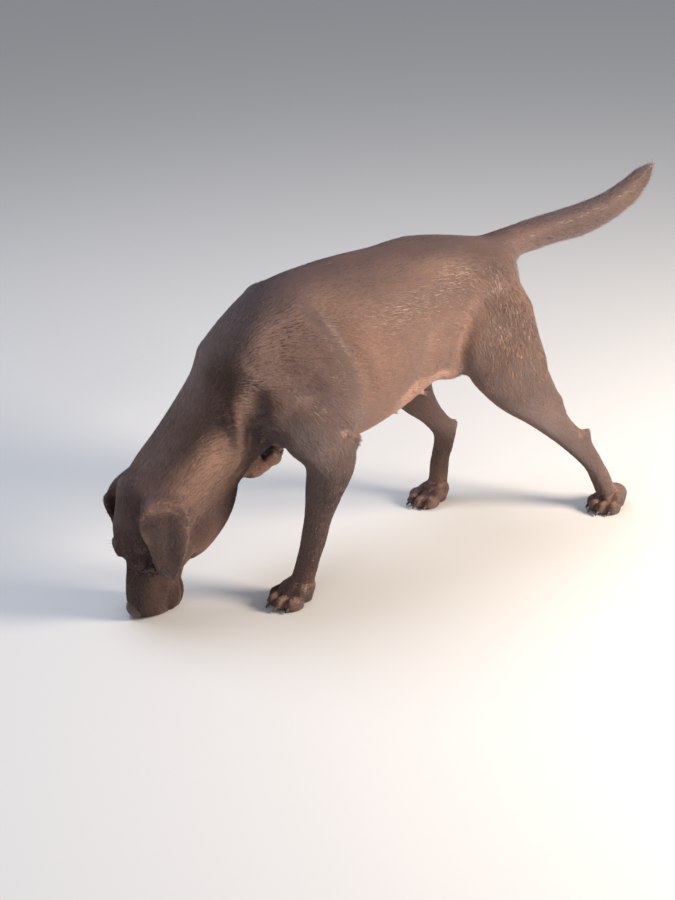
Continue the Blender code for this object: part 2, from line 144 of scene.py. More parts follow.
# %% Lamps
def lamp(name, place, target, size, power, tone):
    """A disk of light at a place, facing a target."""
    light = bpy.data.lights.new(name, "AREA")
    light.shape = "DISK"
    light.size = size
    light.energy = power
    light.color = tone
    obj = bpy.data.objects.new(name, light)
    obj.location = place
    obj.rotation_mode = "QUATERNION"
    obj.rotation_quaternion = (Vector(target) - Vector(place)).to_track_quat("-Z", "Y")
    bpy.context.scene.collection.objects.link(obj)


CHEST_HEIGHT = 0.3
SKY_TONE, SUN_TONE, FRONT_TONE = (0.78, 0.85, 1.0), (1.0, 0.85, 0.70), (0.82, 0.88, 1.0)
WORLD_TONE, WORLD_STRENGTH = (0.76, 0.81, 0.90, 1), 0.44
lamp("sky_lamp", (-0.6, 0.9, 2.6), (0, 0, CHEST_HEIGHT), 2.0, 44, SKY_TONE)
lamp("sun_lamp", (1.25, -1.65, 1.05), (0.2, 0, CHEST_HEIGHT), 0.8, 112, SUN_TONE)
lamp("front_lamp", (-2.6, -1.6, 1.6), (-0.1, 0, CHEST_HEIGHT), 1.6, 14, FRONT_TONE)

world = bpy.data.worlds.new("studio")
world.use_nodes = True
background = world.node_tree.nodes["Background"]
background.inputs["Color"].default_value = WORLD_TONE
background.inputs["Strength"].default_value = WORLD_STRENGTH
bpy.context.scene.world = world
bpy.context.scene.view_settings.view_transform = "Standard"

# %% Floor
FLOOR_HALF = 12.0
floor_mesh = bpy.data.meshes.new("floor")
corners = [(-FLOOR_HALF, -FLOOR_HALF, 0), (FLOOR_HALF, -FLOOR_HALF, 0),
           (FLOOR_HALF, FLOOR_HALF, 0), (-FLOOR_HALF, FLOOR_HALF, 0)]
floor_mesh.from_pydata(corners, [], [(0, 1, 2, 3)])
floor = bpy.data.objects.new("floor", floor_mesh)
bpy.context.scene.collection.objects.link(floor)
print("floor", 2 * FLOOR_HALF, "metres wide")

# %% [markdown]
# ## Shader maths
# Colours are worked out in node trees.  Nodes can be placed and linked one by one, but a
# formula is easier to read and to change.  So a small class wraps a socket and makes sums
# read as sums: `1 - mask` adds the node that does it.  Any other node comes from `add`,
# which takes the node's type, its settings and what goes into its sockets.

# %% A socket that can be reckoned with
class Socket:
    """An output socket of a node tree, with arithmetic."""

    def __init__(self, tree, socket):
        self.tree = tree
        self.socket = socket

    def maths(self, operation, *values, clamp=False):
        settings = {"operation": operation, "use_clamp": clamp}
        return add(self.tree, "ShaderNodeMath", settings, dict(enumerate(values)))

    def __add__(self, other):
        return self.maths("ADD", self, other)

    def __radd__(self, other):
        return self.maths("ADD", other, self)

    def __sub__(self, other):
        return self.maths("SUBTRACT", self, other)

    def __rsub__(self, other):
        return self.maths("SUBTRACT", other, self)

    def __mul__(self, other):
        return self.maths("MULTIPLY", self, other)

    def __rmul__(self, other):
        return self.maths("MULTIPLY", other, self)

    def clamped(self):
        return self.maths("ADD", self, 0.0, clamp=True)

    def between(self, low, high):
        """0 below low, 1 above high, smooth from one to the other."""
        settings = {"interpolation_type": "SMOOTHSTEP"}
        return add(self.tree, "ShaderNodeMapRange", settings,
                   {"Value": self, "From Min": low, "From Max": high})

    def mix(self, low, high):
        """The colour low where this is 0 and high where it is 1."""
        return add(self.tree, "ShaderNodeMix", {"data_type": "RGBA"},
                   {"Factor": self, 6: low, 7: high}, output=2)


print("sockets can be added, subtracted, multiplied and mixed")

# %% Nodes and materials
def add(tree, kind, settings=None, inputs=None, output=0):
    """Adds a node: settings first, then the values or links of its sockets."""
    node = tree.nodes.new(kind)
    for name, value in (settings or {}).items():
        setattr(node, name, value)
    for name, value in (inputs or {}).items():
        if isinstance(value, Socket):
            tree.links.new(value.socket, node.inputs[name])
        else:
            node.inputs[name].default_value = value
    return Socket(tree, node.outputs[output])


def surface(name, **constants):
    """A new material, with what is the same all over it set on the shader itself."""
    made = bpy.data.materials.new(name)
    made.use_nodes = True
    shader = made.node_tree.nodes["Principled BSDF"]
    for socket, value in constants.items():
        shader.inputs[socket.replace("_", " ")].default_value = value
    return made, made.node_tree, shader


def wire(shader, **values):
    """Links what changes over the surface to the shader's sockets."""
    for socket, value in values.items():
        shader.id_data.links.new(value.socket, shader.inputs[socket.replace("_", " ")])


print("node tools ready")

# %% Floor paint
FLOOR_LIGHT, FLOOR_DARK = (0.64, 0.63, 0.61, 1), (0.60, 0.59, 0.575, 1)

floor_paint, tree, shader = surface("floor_paint", Roughness=0.7)
speckle = add(tree, "ShaderNodeTexNoise", {}, {"Scale": 1.3, "Detail": 3.0})
wire(shader, Base_Color=speckle.between(0.3, 0.7).mix(FLOOR_LIGHT, FLOOR_DARK))
floor_mesh.materials.append(floor_paint)
print("floor painted")

# %% [markdown]
# ## Clay
# A dog's flesh is a set of soft tubes and muscles that run into each other.  One box
# could be pulled into her shape point by point, but then no number in it would mean
# anything.  Here each tube is lofted through oval stations and each muscle is an
# ellipsoid, both with the size of a real part.  They are fused by a voxel remesh and then
# smoothed, as a sculptor blends lumps of clay.

# %% Smooth rows of numbers
def catmull(a, b, c, d, t):
    """A smooth way from b to c that heads for a behind and d before it."""
    return 0.5 * (2 * b + (c - a) * t + (2 * a - 5 * b + 4 * c - d) * t ** 2
                  + (3 * b - a - 3 * c + d) * t ** 3)


def smooth_rows(rows, steps):
    """Rows of numbers on a smooth curve through the given rows."""
    rows = np.array(rows, float)
    padded = np.vstack([rows[:1], rows, rows[-1:]])
    out = []
    for i in range(len(rows) - 1):
        for k in range(steps):
            out.append(catmull(*padded[i:i + 4], k / steps))
    out.append(rows[-1])
    return np.array(out)


print("half way from 1 to 3 lies", smooth_rows([[0], [1], [3], [4]], 2)[3, 0])

# %% Lofts and lumps
LOFT_STEPS = 6
THINNEST = 0.0004


def mesh_object(name, bm):
    """Turns loose faces into an object of the scene."""
    mesh = bpy.data.meshes.new(name)
    bm.to_mesh(mesh)
    bm.free()
    obj = bpy.data.objects.new(name, mesh)
    bpy.context.scene.collection.objects.link(obj)
    return obj


def loft(bm, stations, coat=0.0, across=(0, 1, 0), frame_of=LEVEL, sides=32, squareness=2.2):
    """A closed tube through stations (x, y, z, half width, above, below)."""
    across = Vector(across)
    rows = smooth_rows(stations, LOFT_STEPS)
    centres = [Vector(row[:3]) for row in rows]
    rings = []
    for i, row in enumerate(rows):
        travel = (centres[min(i + 1, len(rows) - 1)] - centres[max(i - 1, 0)]).normalized()
        wide = (across - travel * across.dot(travel)).normalized()
        above = travel.cross(wide)
        half, rise, drop = (max(value - coat, THINNEST) for value in row[3:6])
        ring = []
        for k in range(sides):
            turn = 2 * math.pi * k / sides
            u = math.copysign(abs(math.cos(turn)) ** (2 / squareness), math.cos(turn))
            v = math.copysign(abs(math.sin(turn)) ** (2 / squareness), math.sin(turn))
            v *= rise if v > 0 else drop
            ring.append(bm.verts.new(frame_of @ (centres[i] + wide * u * half + above * v)))
        rings.append(ring)
    faces = [bm.faces.new(rings[0]), bm.faces.new(rings[-1])]
    for low, high in zip(rings, rings[1:]):
        for k in range(sides):
            j = (k + 1) % sides
            faces.append(bm.faces.new((low[k], low[j], high[j], high[k])))
    bmesh.ops.recalc_face_normals(bm, faces=faces)


def lump(bm, centre, radii, turn, coat, frame_of):
    """An ellipsoid, turned about X, Y and Z in degrees."""
    spin = (Matrix.Rotation(math.radians(turn[2]), 3, "Z")
            @ Matrix.Rotation(math.radians(turn[1]), 3, "Y")
            @ Matrix.Rotation(math.radians(turn[0]), 3, "X"))
    radii = Vector(value - coat for value in radii)
    place = frame_of @ Matrix.LocRotScale(Vector(centre), spin, radii)
    bmesh.ops.create_icosphere(bm, subdivisions=3, radius=1, matrix=place)


print("clay tools ready")

# %% [markdown]
# ### Depth of the coat
# The coat is about 4 mm deep on the body, less than half of that on the head and least
# on the paws and ears.  The clay is made smaller than the solids by that depth, because
# the tips of the hair give her outer size and not the skin.  The stations run from the
# nose back, from the paws up and from the ear tips in, and their middle lines are kept:
# later they tell the hair which way to lie.

# %% Depth of the coat
BODY_COAT = 0.0038
NECK_COAT = 0.0034
LEG_COAT = 0.0028
TAIL_COAT = 0.0020
HEAD_COAT = 0.0016
PAW_COAT = 0.0012
BONES = []


def tube(bm, stations, coat, place, towards_tail=True, **how):
    """A loft that also notes its middle line as a guide for the hair."""
    loft(bm, stations, coat, frame_of=place, **how)
    line = [place @ Vector(row[:3]) for row in stations]
    girth = [max(row[3:6]) for row in stations]
    if not towards_tail:
        line.reverse()
        girth.reverse()
    BONES.append((np.array(line), np.array(girth)))


print("coat", BODY_COAT * 1000, "mm deep on the body and", HEAD_COAT * 1000, "on the head")

# %% [markdown]
# ### Head
# A broad skull with a clear stop, a square muzzle with full flews, and cheeks that run
# smoothly into the neck.  It could be carved from a ball, but the profile matters most,
# and a loft gives that station by station.  Four pairs of lumps then add the cheeks, the
# brows, the flews and the sides of the muzzle.  The head is shaped level and then hung
# from its seat, so that its numbers stay simple whatever its tilt.

# %% Head clay
SKULL = [
    # x, y, z, half width, above, below
    (-0.0985, 0, -0.009, 0.018, 0.022, 0.024),
    (-0.092, 0, -0.009, 0.027, 0.034, 0.034),
    (-0.074, 0, -0.011, 0.033, 0.040, 0.041),
    (-0.046, 0, -0.011, 0.036, 0.043, 0.047),
    (-0.020, 0, -0.011, 0.039, 0.044, 0.051),
    (-0.003, 0, -0.010, 0.043, 0.048, 0.054),
    (0.014, 0, -0.009, 0.051, 0.062, 0.058),
    (0.045, 0, -0.008, 0.062, 0.069, 0.062),
    (0.083, 0, -0.006, 0.063, 0.066, 0.066),
    (0.113, 0, -0.004, 0.057, 0.067, 0.066),
    (0.136, 0, -0.004, 0.045, 0.060, 0.055),
    (0.152, 0, -0.005, 0.024, 0.028, 0.030),
]


def head_clay(bm):
    tube(bm, SKULL, HEAD_COAT, place=HEAD, squareness=2.35)
    for side in (LEFT, RIGHT):
        for centre, radii, turn in (
            ((0.032, side * 0.046, -0.020), (0.042, 0.020, 0.032), (0, 0, 0)),
            ((0.016, side * 0.027, 0.034), (0.026, 0.022, 0.0135), (0, 0, 0)),
            ((-0.056, side * 0.022, -0.038), (0.034, 0.014, 0.023), (0, -6, 0)),
            ((-0.075, side * 0.019, -0.010), (0.021, 0.014, 0.018), (0, 0, 0)),
        ):
            lump(bm, centre, radii, turn, HEAD_COAT, HEAD)


print("skull stations:", len(SKULL))

# %% [markdown]
# ### Trunk, neck and tail
# A deep barrel of a chest, a short loin, a strong neck stretched down to the ground and
# the thick round tail that such dogs carry level with the back.  Three lofts give their
# profiles.  Lumps add the breastbone, the rump and the throat, and on each side the
# shoulder, the muscle of the loin, the hip and the fold of the flank.

# %% Trunk clay
BARREL = [
    (-0.105, 0, 0.335, 0.040, 0.035, 0.040),
    (-0.075, 0, 0.345, 0.070, 0.052, 0.070),
    (-0.030, 0, 0.370, 0.098, 0.098, 0.118),
    (0.050, 0, 0.390, 0.111, 0.137, 0.148),
    (0.130, 0, 0.390, 0.118, 0.148, 0.150),
    (0.210, 0, 0.400, 0.117, 0.142, 0.138),
    (0.290, 0, 0.415, 0.104, 0.127, 0.120),
    (0.360, 0, 0.428, 0.094, 0.108, 0.106),
    (0.430, 0, 0.432, 0.092, 0.091, 0.095),
    (0.475, 0, 0.433, 0.072, 0.074, 0.080),
    (0.502, 0, 0.432, 0.038, 0.046, 0.050),
]
NAPE = [
    (-0.178, 0.055, 0.120, 0.050, 0.030, 0.078),
    (-0.174, 0.055, 0.165, 0.063, 0.046, 0.102),
    (-0.160, 0.052, 0.215, 0.071, 0.056, 0.114),
    (-0.125, 0.042, 0.268, 0.074, 0.046, 0.117),
    (-0.075, 0.024, 0.322, 0.082, 0.060, 0.103),
    (-0.020, 0.008, 0.370, 0.092, 0.084, 0.100),
    (0.045, 0, 0.402, 0.090, 0.102, 0.090),
]
OTTER_TAIL = [
    (0.440, 0, 0.480, 0.036, 0.032, 0.034),
    (0.490, 0, 0.490, 0.033, 0.030, 0.034),
    (0.540, 0, 0.495, 0.028, 0.028, 0.027),
    (0.600, 0, 0.500, 0.025, 0.026, 0.028),
    (0.670, 0, 0.505, 0.023, 0.025, 0.033),
    (0.730, 0, 0.515, 0.021, 0.022, 0.031),
    (0.780, 0, 0.532, 0.019, 0.020, 0.028),
    (0.816, 0, 0.553, 0.015, 0.016, 0.021),
    (0.836, 0, 0.570, 0.006, 0.006, 0.008),
]


def trunk_clay(bm):
    tube(bm, BARREL, BODY_COAT, place=WORLD, squareness=2.3)
    tube(bm, NAPE, NECK_COAT, place=WORLD)
    tube(bm, OTTER_TAIL, TAIL_COAT, place=WORLD)
    lump(bm, (-0.055, 0, 0.300), (0.060, 0.045, 0.050), (0, 25, 0), BODY_COAT, WORLD)
    lump(bm, (0.455, 0, 0.465), (0.060, 0.060, 0.048), (0, 22, 0), BODY_COAT, WORLD)
    lump(bm, (-0.100, 0.042, 0.165), (0.056, 0.052, 0.097), (0, 36, 0), NECK_COAT, WORLD)
    for side in (LEFT, RIGHT):
        for centre, radii, turn in (
            ((0.008, side * 0.068, 0.412), (0.055, 0.030, 0.090), (side * 24, 22, 0)),
            ((0.330, side * 0.040, 0.505), (0.110, 0.035, 0.030), (0, 4, 0)),
            ((0.405, side * 0.064, 0.474), (0.060, 0.028, 0.040), (0, 20, 0)),
            ((0.322, side * 0.074, 0.352), (0.046, 0.016, 0.046), (side * 10, -35, 0)),
        ):
            lump(bm, centre, radii, turn, BODY_COAT, WORLD)


print("trunk, neck and tail stations:", len(BARREL), len(NAPE), len(OTTER_TAIL))

# %% [markdown]
# ### Legs
# In this step the left foreleg carries her, the right one is folded and swings forward,
# the left hind leg pushes off far behind and the right one has come up under the belly.
# Bones could bend a standing dog into this step, but she stays still, and a loft that is
# drawn where the leg really is keeps its thickness at every bend.

# %% Stations of the legs
FORELEG = {
    LEFT: [
        (0.022, -0.064, 0.030, 0.021, 0.022, 0.021),
        (0.034, -0.067, 0.070, 0.020, 0.021, 0.021),
        (0.043, -0.071, 0.105, 0.0225, 0.024, 0.025),
        (0.048, -0.080, 0.150, 0.023, 0.026, 0.028),
        (0.055, -0.091, 0.200, 0.029, 0.035, 0.037),
        (0.062, -0.100, 0.250, 0.035, 0.045, 0.047),
        (0.050, -0.098, 0.300, 0.038, 0.062, 0.056),
        (0.015, -0.088, 0.355, 0.036, 0.075, 0.066),
    ],
    RIGHT: [
        (0.012, 0.090, 0.184, 0.020, 0.018, 0.016),
        (-0.012, 0.089, 0.187, 0.020, 0.019, 0.017),
        (-0.034, 0.088, 0.198, 0.022, 0.023, 0.020),
        (-0.020, 0.089, 0.218, 0.023, 0.026, 0.027),
        (0.012, 0.092, 0.248, 0.029, 0.034, 0.036),
        (0.048, 0.097, 0.278, 0.035, 0.044, 0.046),
        (0.048, 0.097, 0.315, 0.038, 0.060, 0.056),
        (0.015, 0.088, 0.360, 0.036, 0.075, 0.066),
    ],
}
HINDLEG = {
    LEFT: [
        (0.636, -0.127, 0.035, 0.019, 0.020, 0.020),
        (0.614, -0.121, 0.085, 0.0175, 0.020, 0.021),
        (0.584, -0.110, 0.135, 0.020, 0.028, 0.026),
        (0.544, -0.106, 0.177, 0.022, 0.031, 0.026),
        (0.494, -0.105, 0.230, 0.030, 0.040, 0.046),
        (0.443, -0.102, 0.288, 0.038, 0.057, 0.070),
        (0.420, -0.092, 0.350, 0.044, 0.082, 0.074),
        (0.422, -0.078, 0.415, 0.042, 0.080, 0.066),
        (0.422, -0.060, 0.455, 0.030, 0.060, 0.050),
    ],
    RIGHT: [
        (0.424, 0.089, 0.035, 0.019, 0.019, 0.019),
        (0.428, 0.087, 0.085, 0.0175, 0.020, 0.022),
        (0.437, 0.085, 0.132, 0.020, 0.024, 0.027),
        (0.406, 0.085, 0.176, 0.021, 0.025, 0.026),
        (0.368, 0.087, 0.224, 0.029, 0.037, 0.046),
        (0.347, 0.090, 0.280, 0.037, 0.051, 0.078),
        (0.354, 0.088, 0.345, 0.044, 0.072, 0.090),
        (0.395, 0.076, 0.415, 0.042, 0.078, 0.080),
        (0.425, 0.060, 0.455, 0.030, 0.060, 0.050),
    ],
}
ELBOW = {LEFT: (0.090, -0.108, 0.284), RIGHT: (0.092, 0.106, 0.304)}
HEEL = {LEFT: (0.602, -0.108, 0.150), RIGHT: (0.457, 0.084, 0.142)}
print("stations of a foreleg:", len(FORELEG[LEFT]), "of a hind leg:", len(HINDLEG[LEFT]))

# %% Leg clay
def leg_clay(bm):
    for side in (LEFT, RIGHT):
        tube(bm, FORELEG[side], LEG_COAT, towards_tail=False, place=WORLD, sides=28)
        tube(bm, HINDLEG[side], LEG_COAT, towards_tail=False, place=WORLD, sides=28)
        lump(bm, ELBOW[side], (0.022, 0.017, 0.026), (0, 15, 0), LEG_COAT, WORLD)
        lump(bm, HEEL[side], (0.014, 0.013, 0.019), (0, 35, 0), LEG_COAT, WORLD)
        lump(bm, (0.020, side * 0.092, 0.332), (0.076, 0.028, 0.047), (0, 22, 0), BODY_COAT,
             WORLD)


print("legs:", len(FORELEG) + len(HINDLEG))

# %% [markdown]
# ### Paws
# One paw serves for all four, because hind paws differ from fore paws mostly in size.  It
# is shaped level with its toes towards -X, then set down with the heading and pitch it
# has in this step: three lie flat and the lifted one is folded back.

# %% Paw clay
SOLE_PRESS = 0.003
PAW = {
    # place of the heel pad, heading, pitch and scale
    ("fore", LEFT): ((0.012, -0.062, -SOLE_PRESS), 2, 0, 0.91),
    ("fore", RIGHT): ((0.038, 0.090, 0.211), 0, 177, 0.91),
    ("hind", LEFT): ((0.648, -0.129, -SOLE_PRESS), 6, 0, 0.86),
    ("hind", RIGHT): ((0.412, 0.089, -SOLE_PRESS), -2, 0, 0.86),
}
TOES = (
    # along, across and half length of each toe
    (-0.022, -0.0275, 0.0190),
    (-0.036, -0.0105, 0.0200),
    (-0.036, 0.0105, 0.0200),
    (-0.022, 0.0275, 0.0190),
)


def paw_frame(end, side):
    spot, heading, pitch, scale = PAW[end, side]
    return (WORLD @ Matrix.Translation(spot) @ Matrix.Rotation(math.radians(heading), 4, "Z")
            @ Matrix.Rotation(math.radians(pitch), 4, "Y") @ Matrix.Scale(scale, 4))


PAW_FRAME = {key: paw_frame(*key) for key in PAW}


def paw_clay(bm):
    for place in PAW_FRAME.values():
        lump(bm, (0.006, 0, 0.027), (0.036, 0.029, 0.027), (0, 0, 0), PAW_COAT, place)
        lump(bm, (0.008, 0, 0.010), (0.026, 0.024, 0.013), (0, 0, 0), PAW_COAT, place)
        for along, across, half in TOES:
            lump(bm, (along, across, 0.015), (half, 0.0118, 0.0165), (0, 14, 0), PAW_COAT, place)
            lump(bm, (along + 0.018, across * 0.86, 0.026), (0.016, 0.0105, 0.0135), (0, 0, 0),
                 PAW_COAT, place)


print("paws:", len(PAW), "with", len(TOES), "toes each")

# %% [markdown]
# ### Ears
# The ear is a flap that hangs from a fold high on the skull, broad at the fold and round
# at the tip, thicker at its root and thin at its rim.  A sheet with an even thickness
# would look cut from felt.  A loft through narrow ovals lets the root swell and the rim
# thin out.

# %% Ear clay
EAR_COAT = 0.0008
EAR_OUT = 0.068


def ear_clay(bm):
    for side in (LEFT, RIGHT):
        flap_y = HEAD_SEAT.y + side * EAR_OUT
        flap = [
            (-0.1900, flap_y, 0.0855, 0.0045, 0.0022, 0.0022),
            (-0.1905, flap_y, 0.0916, 0.0120, 0.0032, 0.0032),
            (-0.1925, flap_y, 0.1100, 0.0215, 0.0040, 0.0040),
            (-0.1925, flap_y, 0.1325, 0.0300, 0.0044, 0.0044),
            (-0.1925, flap_y, 0.1550, 0.0365, 0.0047, 0.0047),
            (-0.1940, flap_y, 0.1755, 0.0425, 0.0052, 0.0052),
            (-0.1950, flap_y - side * 0.002, 0.1920, 0.0450, 0.0066, 0.0066),
            (-0.1905, flap_y - side * 0.007, 0.2085, 0.0400, 0.0085, 0.0085),
            (-0.1850, flap_y - side * 0.016, 0.2210, 0.0300, 0.0100, 0.0100),
            (-0.1820, flap_y - side * 0.028, 0.2300, 0.0180, 0.0080, 0.0080),
        ]
        tube(bm, flap, EAR_COAT, towards_tail=False, place=WORLD, across=(0.97, side * 0.25, 0),
             sides=28, squareness=2.9)


print("ears hang", EAR_OUT, "m from the middle")

# %% [markdown]
# ### Fusing
# A voxel remesh turns all the crossing lumps into one closed skin.  Joining them with
# booleans would keep a sharp crease at every crossing, which flesh doesn't have.

# %% Fusing the clay
SKIN_VOXEL = 0.0030


def fuse():
    bm = bmesh.new()
    for shape in (head_clay, trunk_clay, leg_clay, paw_clay, ear_clay):
        shape(bm)
    clay = mesh_object("clay", bm)
    remesh = clay.modifiers.new("fuse", "REMESH")
    remesh.mode = "VOXEL"
    remesh.voxel_size = SKIN_VOXEL
    graph = bpy.context.evaluated_depsgraph_get()
    mesh = bpy.data.meshes.new_from_object(clay.evaluated_get(graph))
    bpy.data.objects.remove(clay)
    skin = bpy.data.objects.new("skin", mesh)
    bpy.context.scene.collection.objects.link(skin)
    return skin


skin = fuse()
print("fused skin:", len(skin.data.polygons), "faces")

# %% [markdown]
# ## Smoothing
# The fused clay has steps where lumps meet.  Moving every point towards the middle of its
# neighbours blends them.  A Smooth modifier does the same, but worked out here the weight
# can differ from place to place: the body takes many rounds, the face, ears and paws few.

# %% Smoothing tools
def points_of(mesh):
    flat = np.zeros(len(mesh.vertices) * 3)
    mesh.vertices.foreach_get("co", flat)
    return flat.reshape(-1, 3)


def normals_of(mesh):
    flat = np.zeros(len(mesh.vertices) * 3)
    mesh.vertices.foreach_get("normal", flat)
    return flat.reshape(-1, 3)


def edges_of(mesh):
    flat = np.zeros(len(mesh.edges) * 2, np.int64)
    mesh.edges.foreach_get("vertices", flat)
    return flat.reshape(-1, 2)


def put_points(mesh, points):
    mesh.vertices.foreach_set("co", points.ravel())
    mesh.update()


def relax(points, edges, weight, rounds):
    """Moves each point part of the way to the middle of its neighbours, several times."""
    count = len(points)
    degree = np.maximum(np.bincount(edges.ravel(), minlength=count), 1)
    for _ in range(rounds):
        total = np.empty_like(points)
        for axis in range(3):
            total[:, axis] = (np.bincount(edges[:, 0], points[edges[:, 1], axis], count)
                              + np.bincount(edges[:, 1], points[edges[:, 0], axis], count))
        points = points + weight[:, None] * (total / degree[:, None] - points)
    return points


def soft_step(value, low, high):
    """0 at low, 1 at high, smooth between; low may be the larger."""
    t = np.clip((value - low) / (high - low), 0, 1)
    return t * t * (3 - 2 * t)


def into(frame_of, points):
    """Points told in a local frame."""
    matrix = np.array(frame_of.inverted())
    return points @ matrix[:3, :3].T + matrix[:3, 3]


def distance_to(points, spot):
    return np.linalg.norm(points - np.array(spot), axis=1)


print("smoothing tools ready")

# %% Where a point lies
def near_paws(points):
    """The distance to the nearest paw."""
    return np.min([distance_to(into(place, points), (-0.01, 0, 0.02))
                   for place in PAW_FRAME.values()], axis=0)


def on_tail(points):
    """1 on the tail, fading out at its root."""
    local = from_withers(points)
    return soft_step(local[:, 0], 0.50, 0.56) * soft_step(local[:, 2], 0.40, 0.46)


def on_ear(points, side):
    """1 on the hanging flap of one ear, fading out at its fold."""
    local = from_withers(points)
    out = (local[:, 1] - HEAD_SEAT.y) * side
    flap = soft_step(out, EAR_OUT - 0.012, EAR_OUT - 0.007)
    flap *= soft_step(local[:, 2], 0.218, 0.200)
    flap *= soft_step(local[:, 2], 0.080, 0.084)
    rear = -0.146 - 0.45 * np.maximum(0.155 - local[:, 2], 0)
    flap *= soft_step(local[:, 0] - rear, 0.005, -0.002)
    return flap * soft_step(distance_to(points, HEAD @ Vector((0.05, 0, 0))), 0.19, 0.16)


print("points on the tail:", int((on_tail(points_of(skin.data)) > 0.5).sum()))

# %% Smoothing the skin
BLEND_ROUNDS, EVEN_ROUNDS, EAR_ROUNDS, HEEL_ROUNDS, LAST_ROUNDS = 70, 24, 8, 32, 3


def smooth_skin(mesh):
    points = points_of(mesh)
    edges = edges_of(mesh)
    local = from_withers(points)
    on_head = soft_step(distance_to(points, HEAD @ Vector((0, 0, 0))), 0.16, 0.09)
    head = into(HEAD, points)
    on_head *= 1 - soft_step(head[:, 0], 0.005, 0.050) * soft_step(head[:, 2], -0.030, -0.058)
    on_head *= 1 - 0.9 * soft_step(head[:, 0], 0.085, 0.125)
    on_paw = soft_step(near_paws(points), 0.10, 0.065)
    ears = np.maximum(on_ear(points, LEFT), on_ear(points, RIGHT))
    fine = np.maximum.reduce([on_head, on_paw, ears])
    on_leg = soft_step(local[:, 2], 0.33, 0.25) * soft_step(local[:, 0], -0.09, -0.05)
    fine = np.maximum(fine, 0.8 * on_tail(points))
    loose = (1 - fine) * (1 - 0.75 * on_leg)
    points = relax(points, edges, 0.5 * loose, BLEND_ROUNDS)
    points = relax(points, edges, 0.5 - 0.44 * fine, EVEN_ROUNDS)
    points = relax(points, edges, 0.35 * ears, EAR_ROUNDS)
    heels = np.min([distance_to(local, HEEL[side]) for side in (LEFT, RIGHT)], axis=0)
    points = relax(points, edges, 0.5 * soft_step(heels, 0.050, 0.026), HEEL_ROUNDS)
    points = relax(points, edges, np.full(len(points), 0.35), LAST_ROUNDS)
    put_points(mesh, points)


smooth_skin(skin.data)
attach(skin, "root")
print("skin smoothed:", len(skin.data.vertices), "points")

# %% [markdown]
# ## Finer mesh where it counts
# The face, the ears and the paws need folds about a millimetre wide.  A finer remesh
# would make the whole body heavy, so only their faces are split in four, and those round
# each eye, the nose and the lips once more.

# %% Splitting faces
def refine(mesh, chosen):
    """Splits every face whose corners are all chosen."""
    bm = bmesh.new()
    bm.from_mesh(mesh)
    edges = {edge for face in bm.faces if all(chosen[v.index] for v in face.verts)
             for edge in face.edges}
    bmesh.ops.subdivide_edges(bm, edges=sorted(edges, key=lambda edge: edge.index), cuts=1,
                              use_grid_fill=True)
    bm.to_mesh(mesh)
    bm.free()


print("splitting ready")

# %% Splitting where folds are fine
EYES = {side: HEAD @ EYE_SEAT[side] for side in SIDE_NAME}
MUZZLE = HEAD @ Vector((-0.085, 0, -0.012))
FACE_REACH, PAW_REACH, LID_REACH, NOSE_REACH = 0.14, 0.062, 0.024, 0.030
FACE_ROUNDS = 4


def refine_skin(mesh):
    points = points_of(mesh)
    local = into(HEAD, points)
    face = (local[:, 0] < 0.075) & (distance_to(points, HEAD @ Vector((0, 0, 0))) < FACE_REACH)
    ears = (on_ear(points, LEFT) + on_ear(points, RIGHT)) > 0.05
    refine(mesh, face | ears | (near_paws(points) < PAW_REACH))
    points = points_of(mesh)
    nearest_eye = np.minimum(distance_to(points, EYES[LEFT]), distance_to(points, EYES[RIGHT]))
    local = into(HEAD, points)
    lips = (local[:, 0] < 0.012) & (local[:, 2] < -0.020) & (local[:, 2] > -0.075)
    lips &= np.abs(local[:, 1]) < 0.055
    refine(mesh, (nearest_eye < LID_REACH) | (distance_to(points, MUZZLE) < NOSE_REACH) | lips)
    points = points_of(mesh)
    head_only = soft_step(distance_to(points, HEAD @ Vector((-0.02, 0, 0))), 0.17, 0.13)
    points = relax(points, edges_of(mesh), 0.5 * head_only, FACE_ROUNDS)
    put_points(mesh, points)


refine_skin(skin.data)
print("refined skin:", len(skin.data.vertices), "points")

# %% [markdown]
# ## Sculpting by strokes
# A stroke is a soft line drawn over the skin: points near it rise along their normals,
# or sink where the height is negative.  A dab does the same round one spot.  A brush in
# the hand does it too, but a stroke that is written down can be read, moved and mirrored.
# Most of them are told for the right side, at +Y, and repeated on the left.

# %% Distance from a line
def line_distance(points, line):
    """The distance from each point to a broken line, and how far along it is."""
    best = np.full(len(points), np.inf)
    along = np.zeros(len(points))
    for i in range(len(line) - 1):
        start, step = line[i], line[i + 1] - line[i]
        t = np.clip((points - start) @ step / max(step @ step, 1e-12), 0, 1)
        distance = np.linalg.norm(points - start - t[:, None] * step, axis=1)
        closer = distance < best
        best[closer] = distance[closer]
        along[closer] = (i + t[closer]) / (len(line) - 1)
    return best, along


print("the eyes lie", np.round(line_distance(np.array(list(EYES.values())), BONES[0][0])[0], 3),
      "m from the middle line of the skull")

# %% Strokes
PATH_STEPS = 5


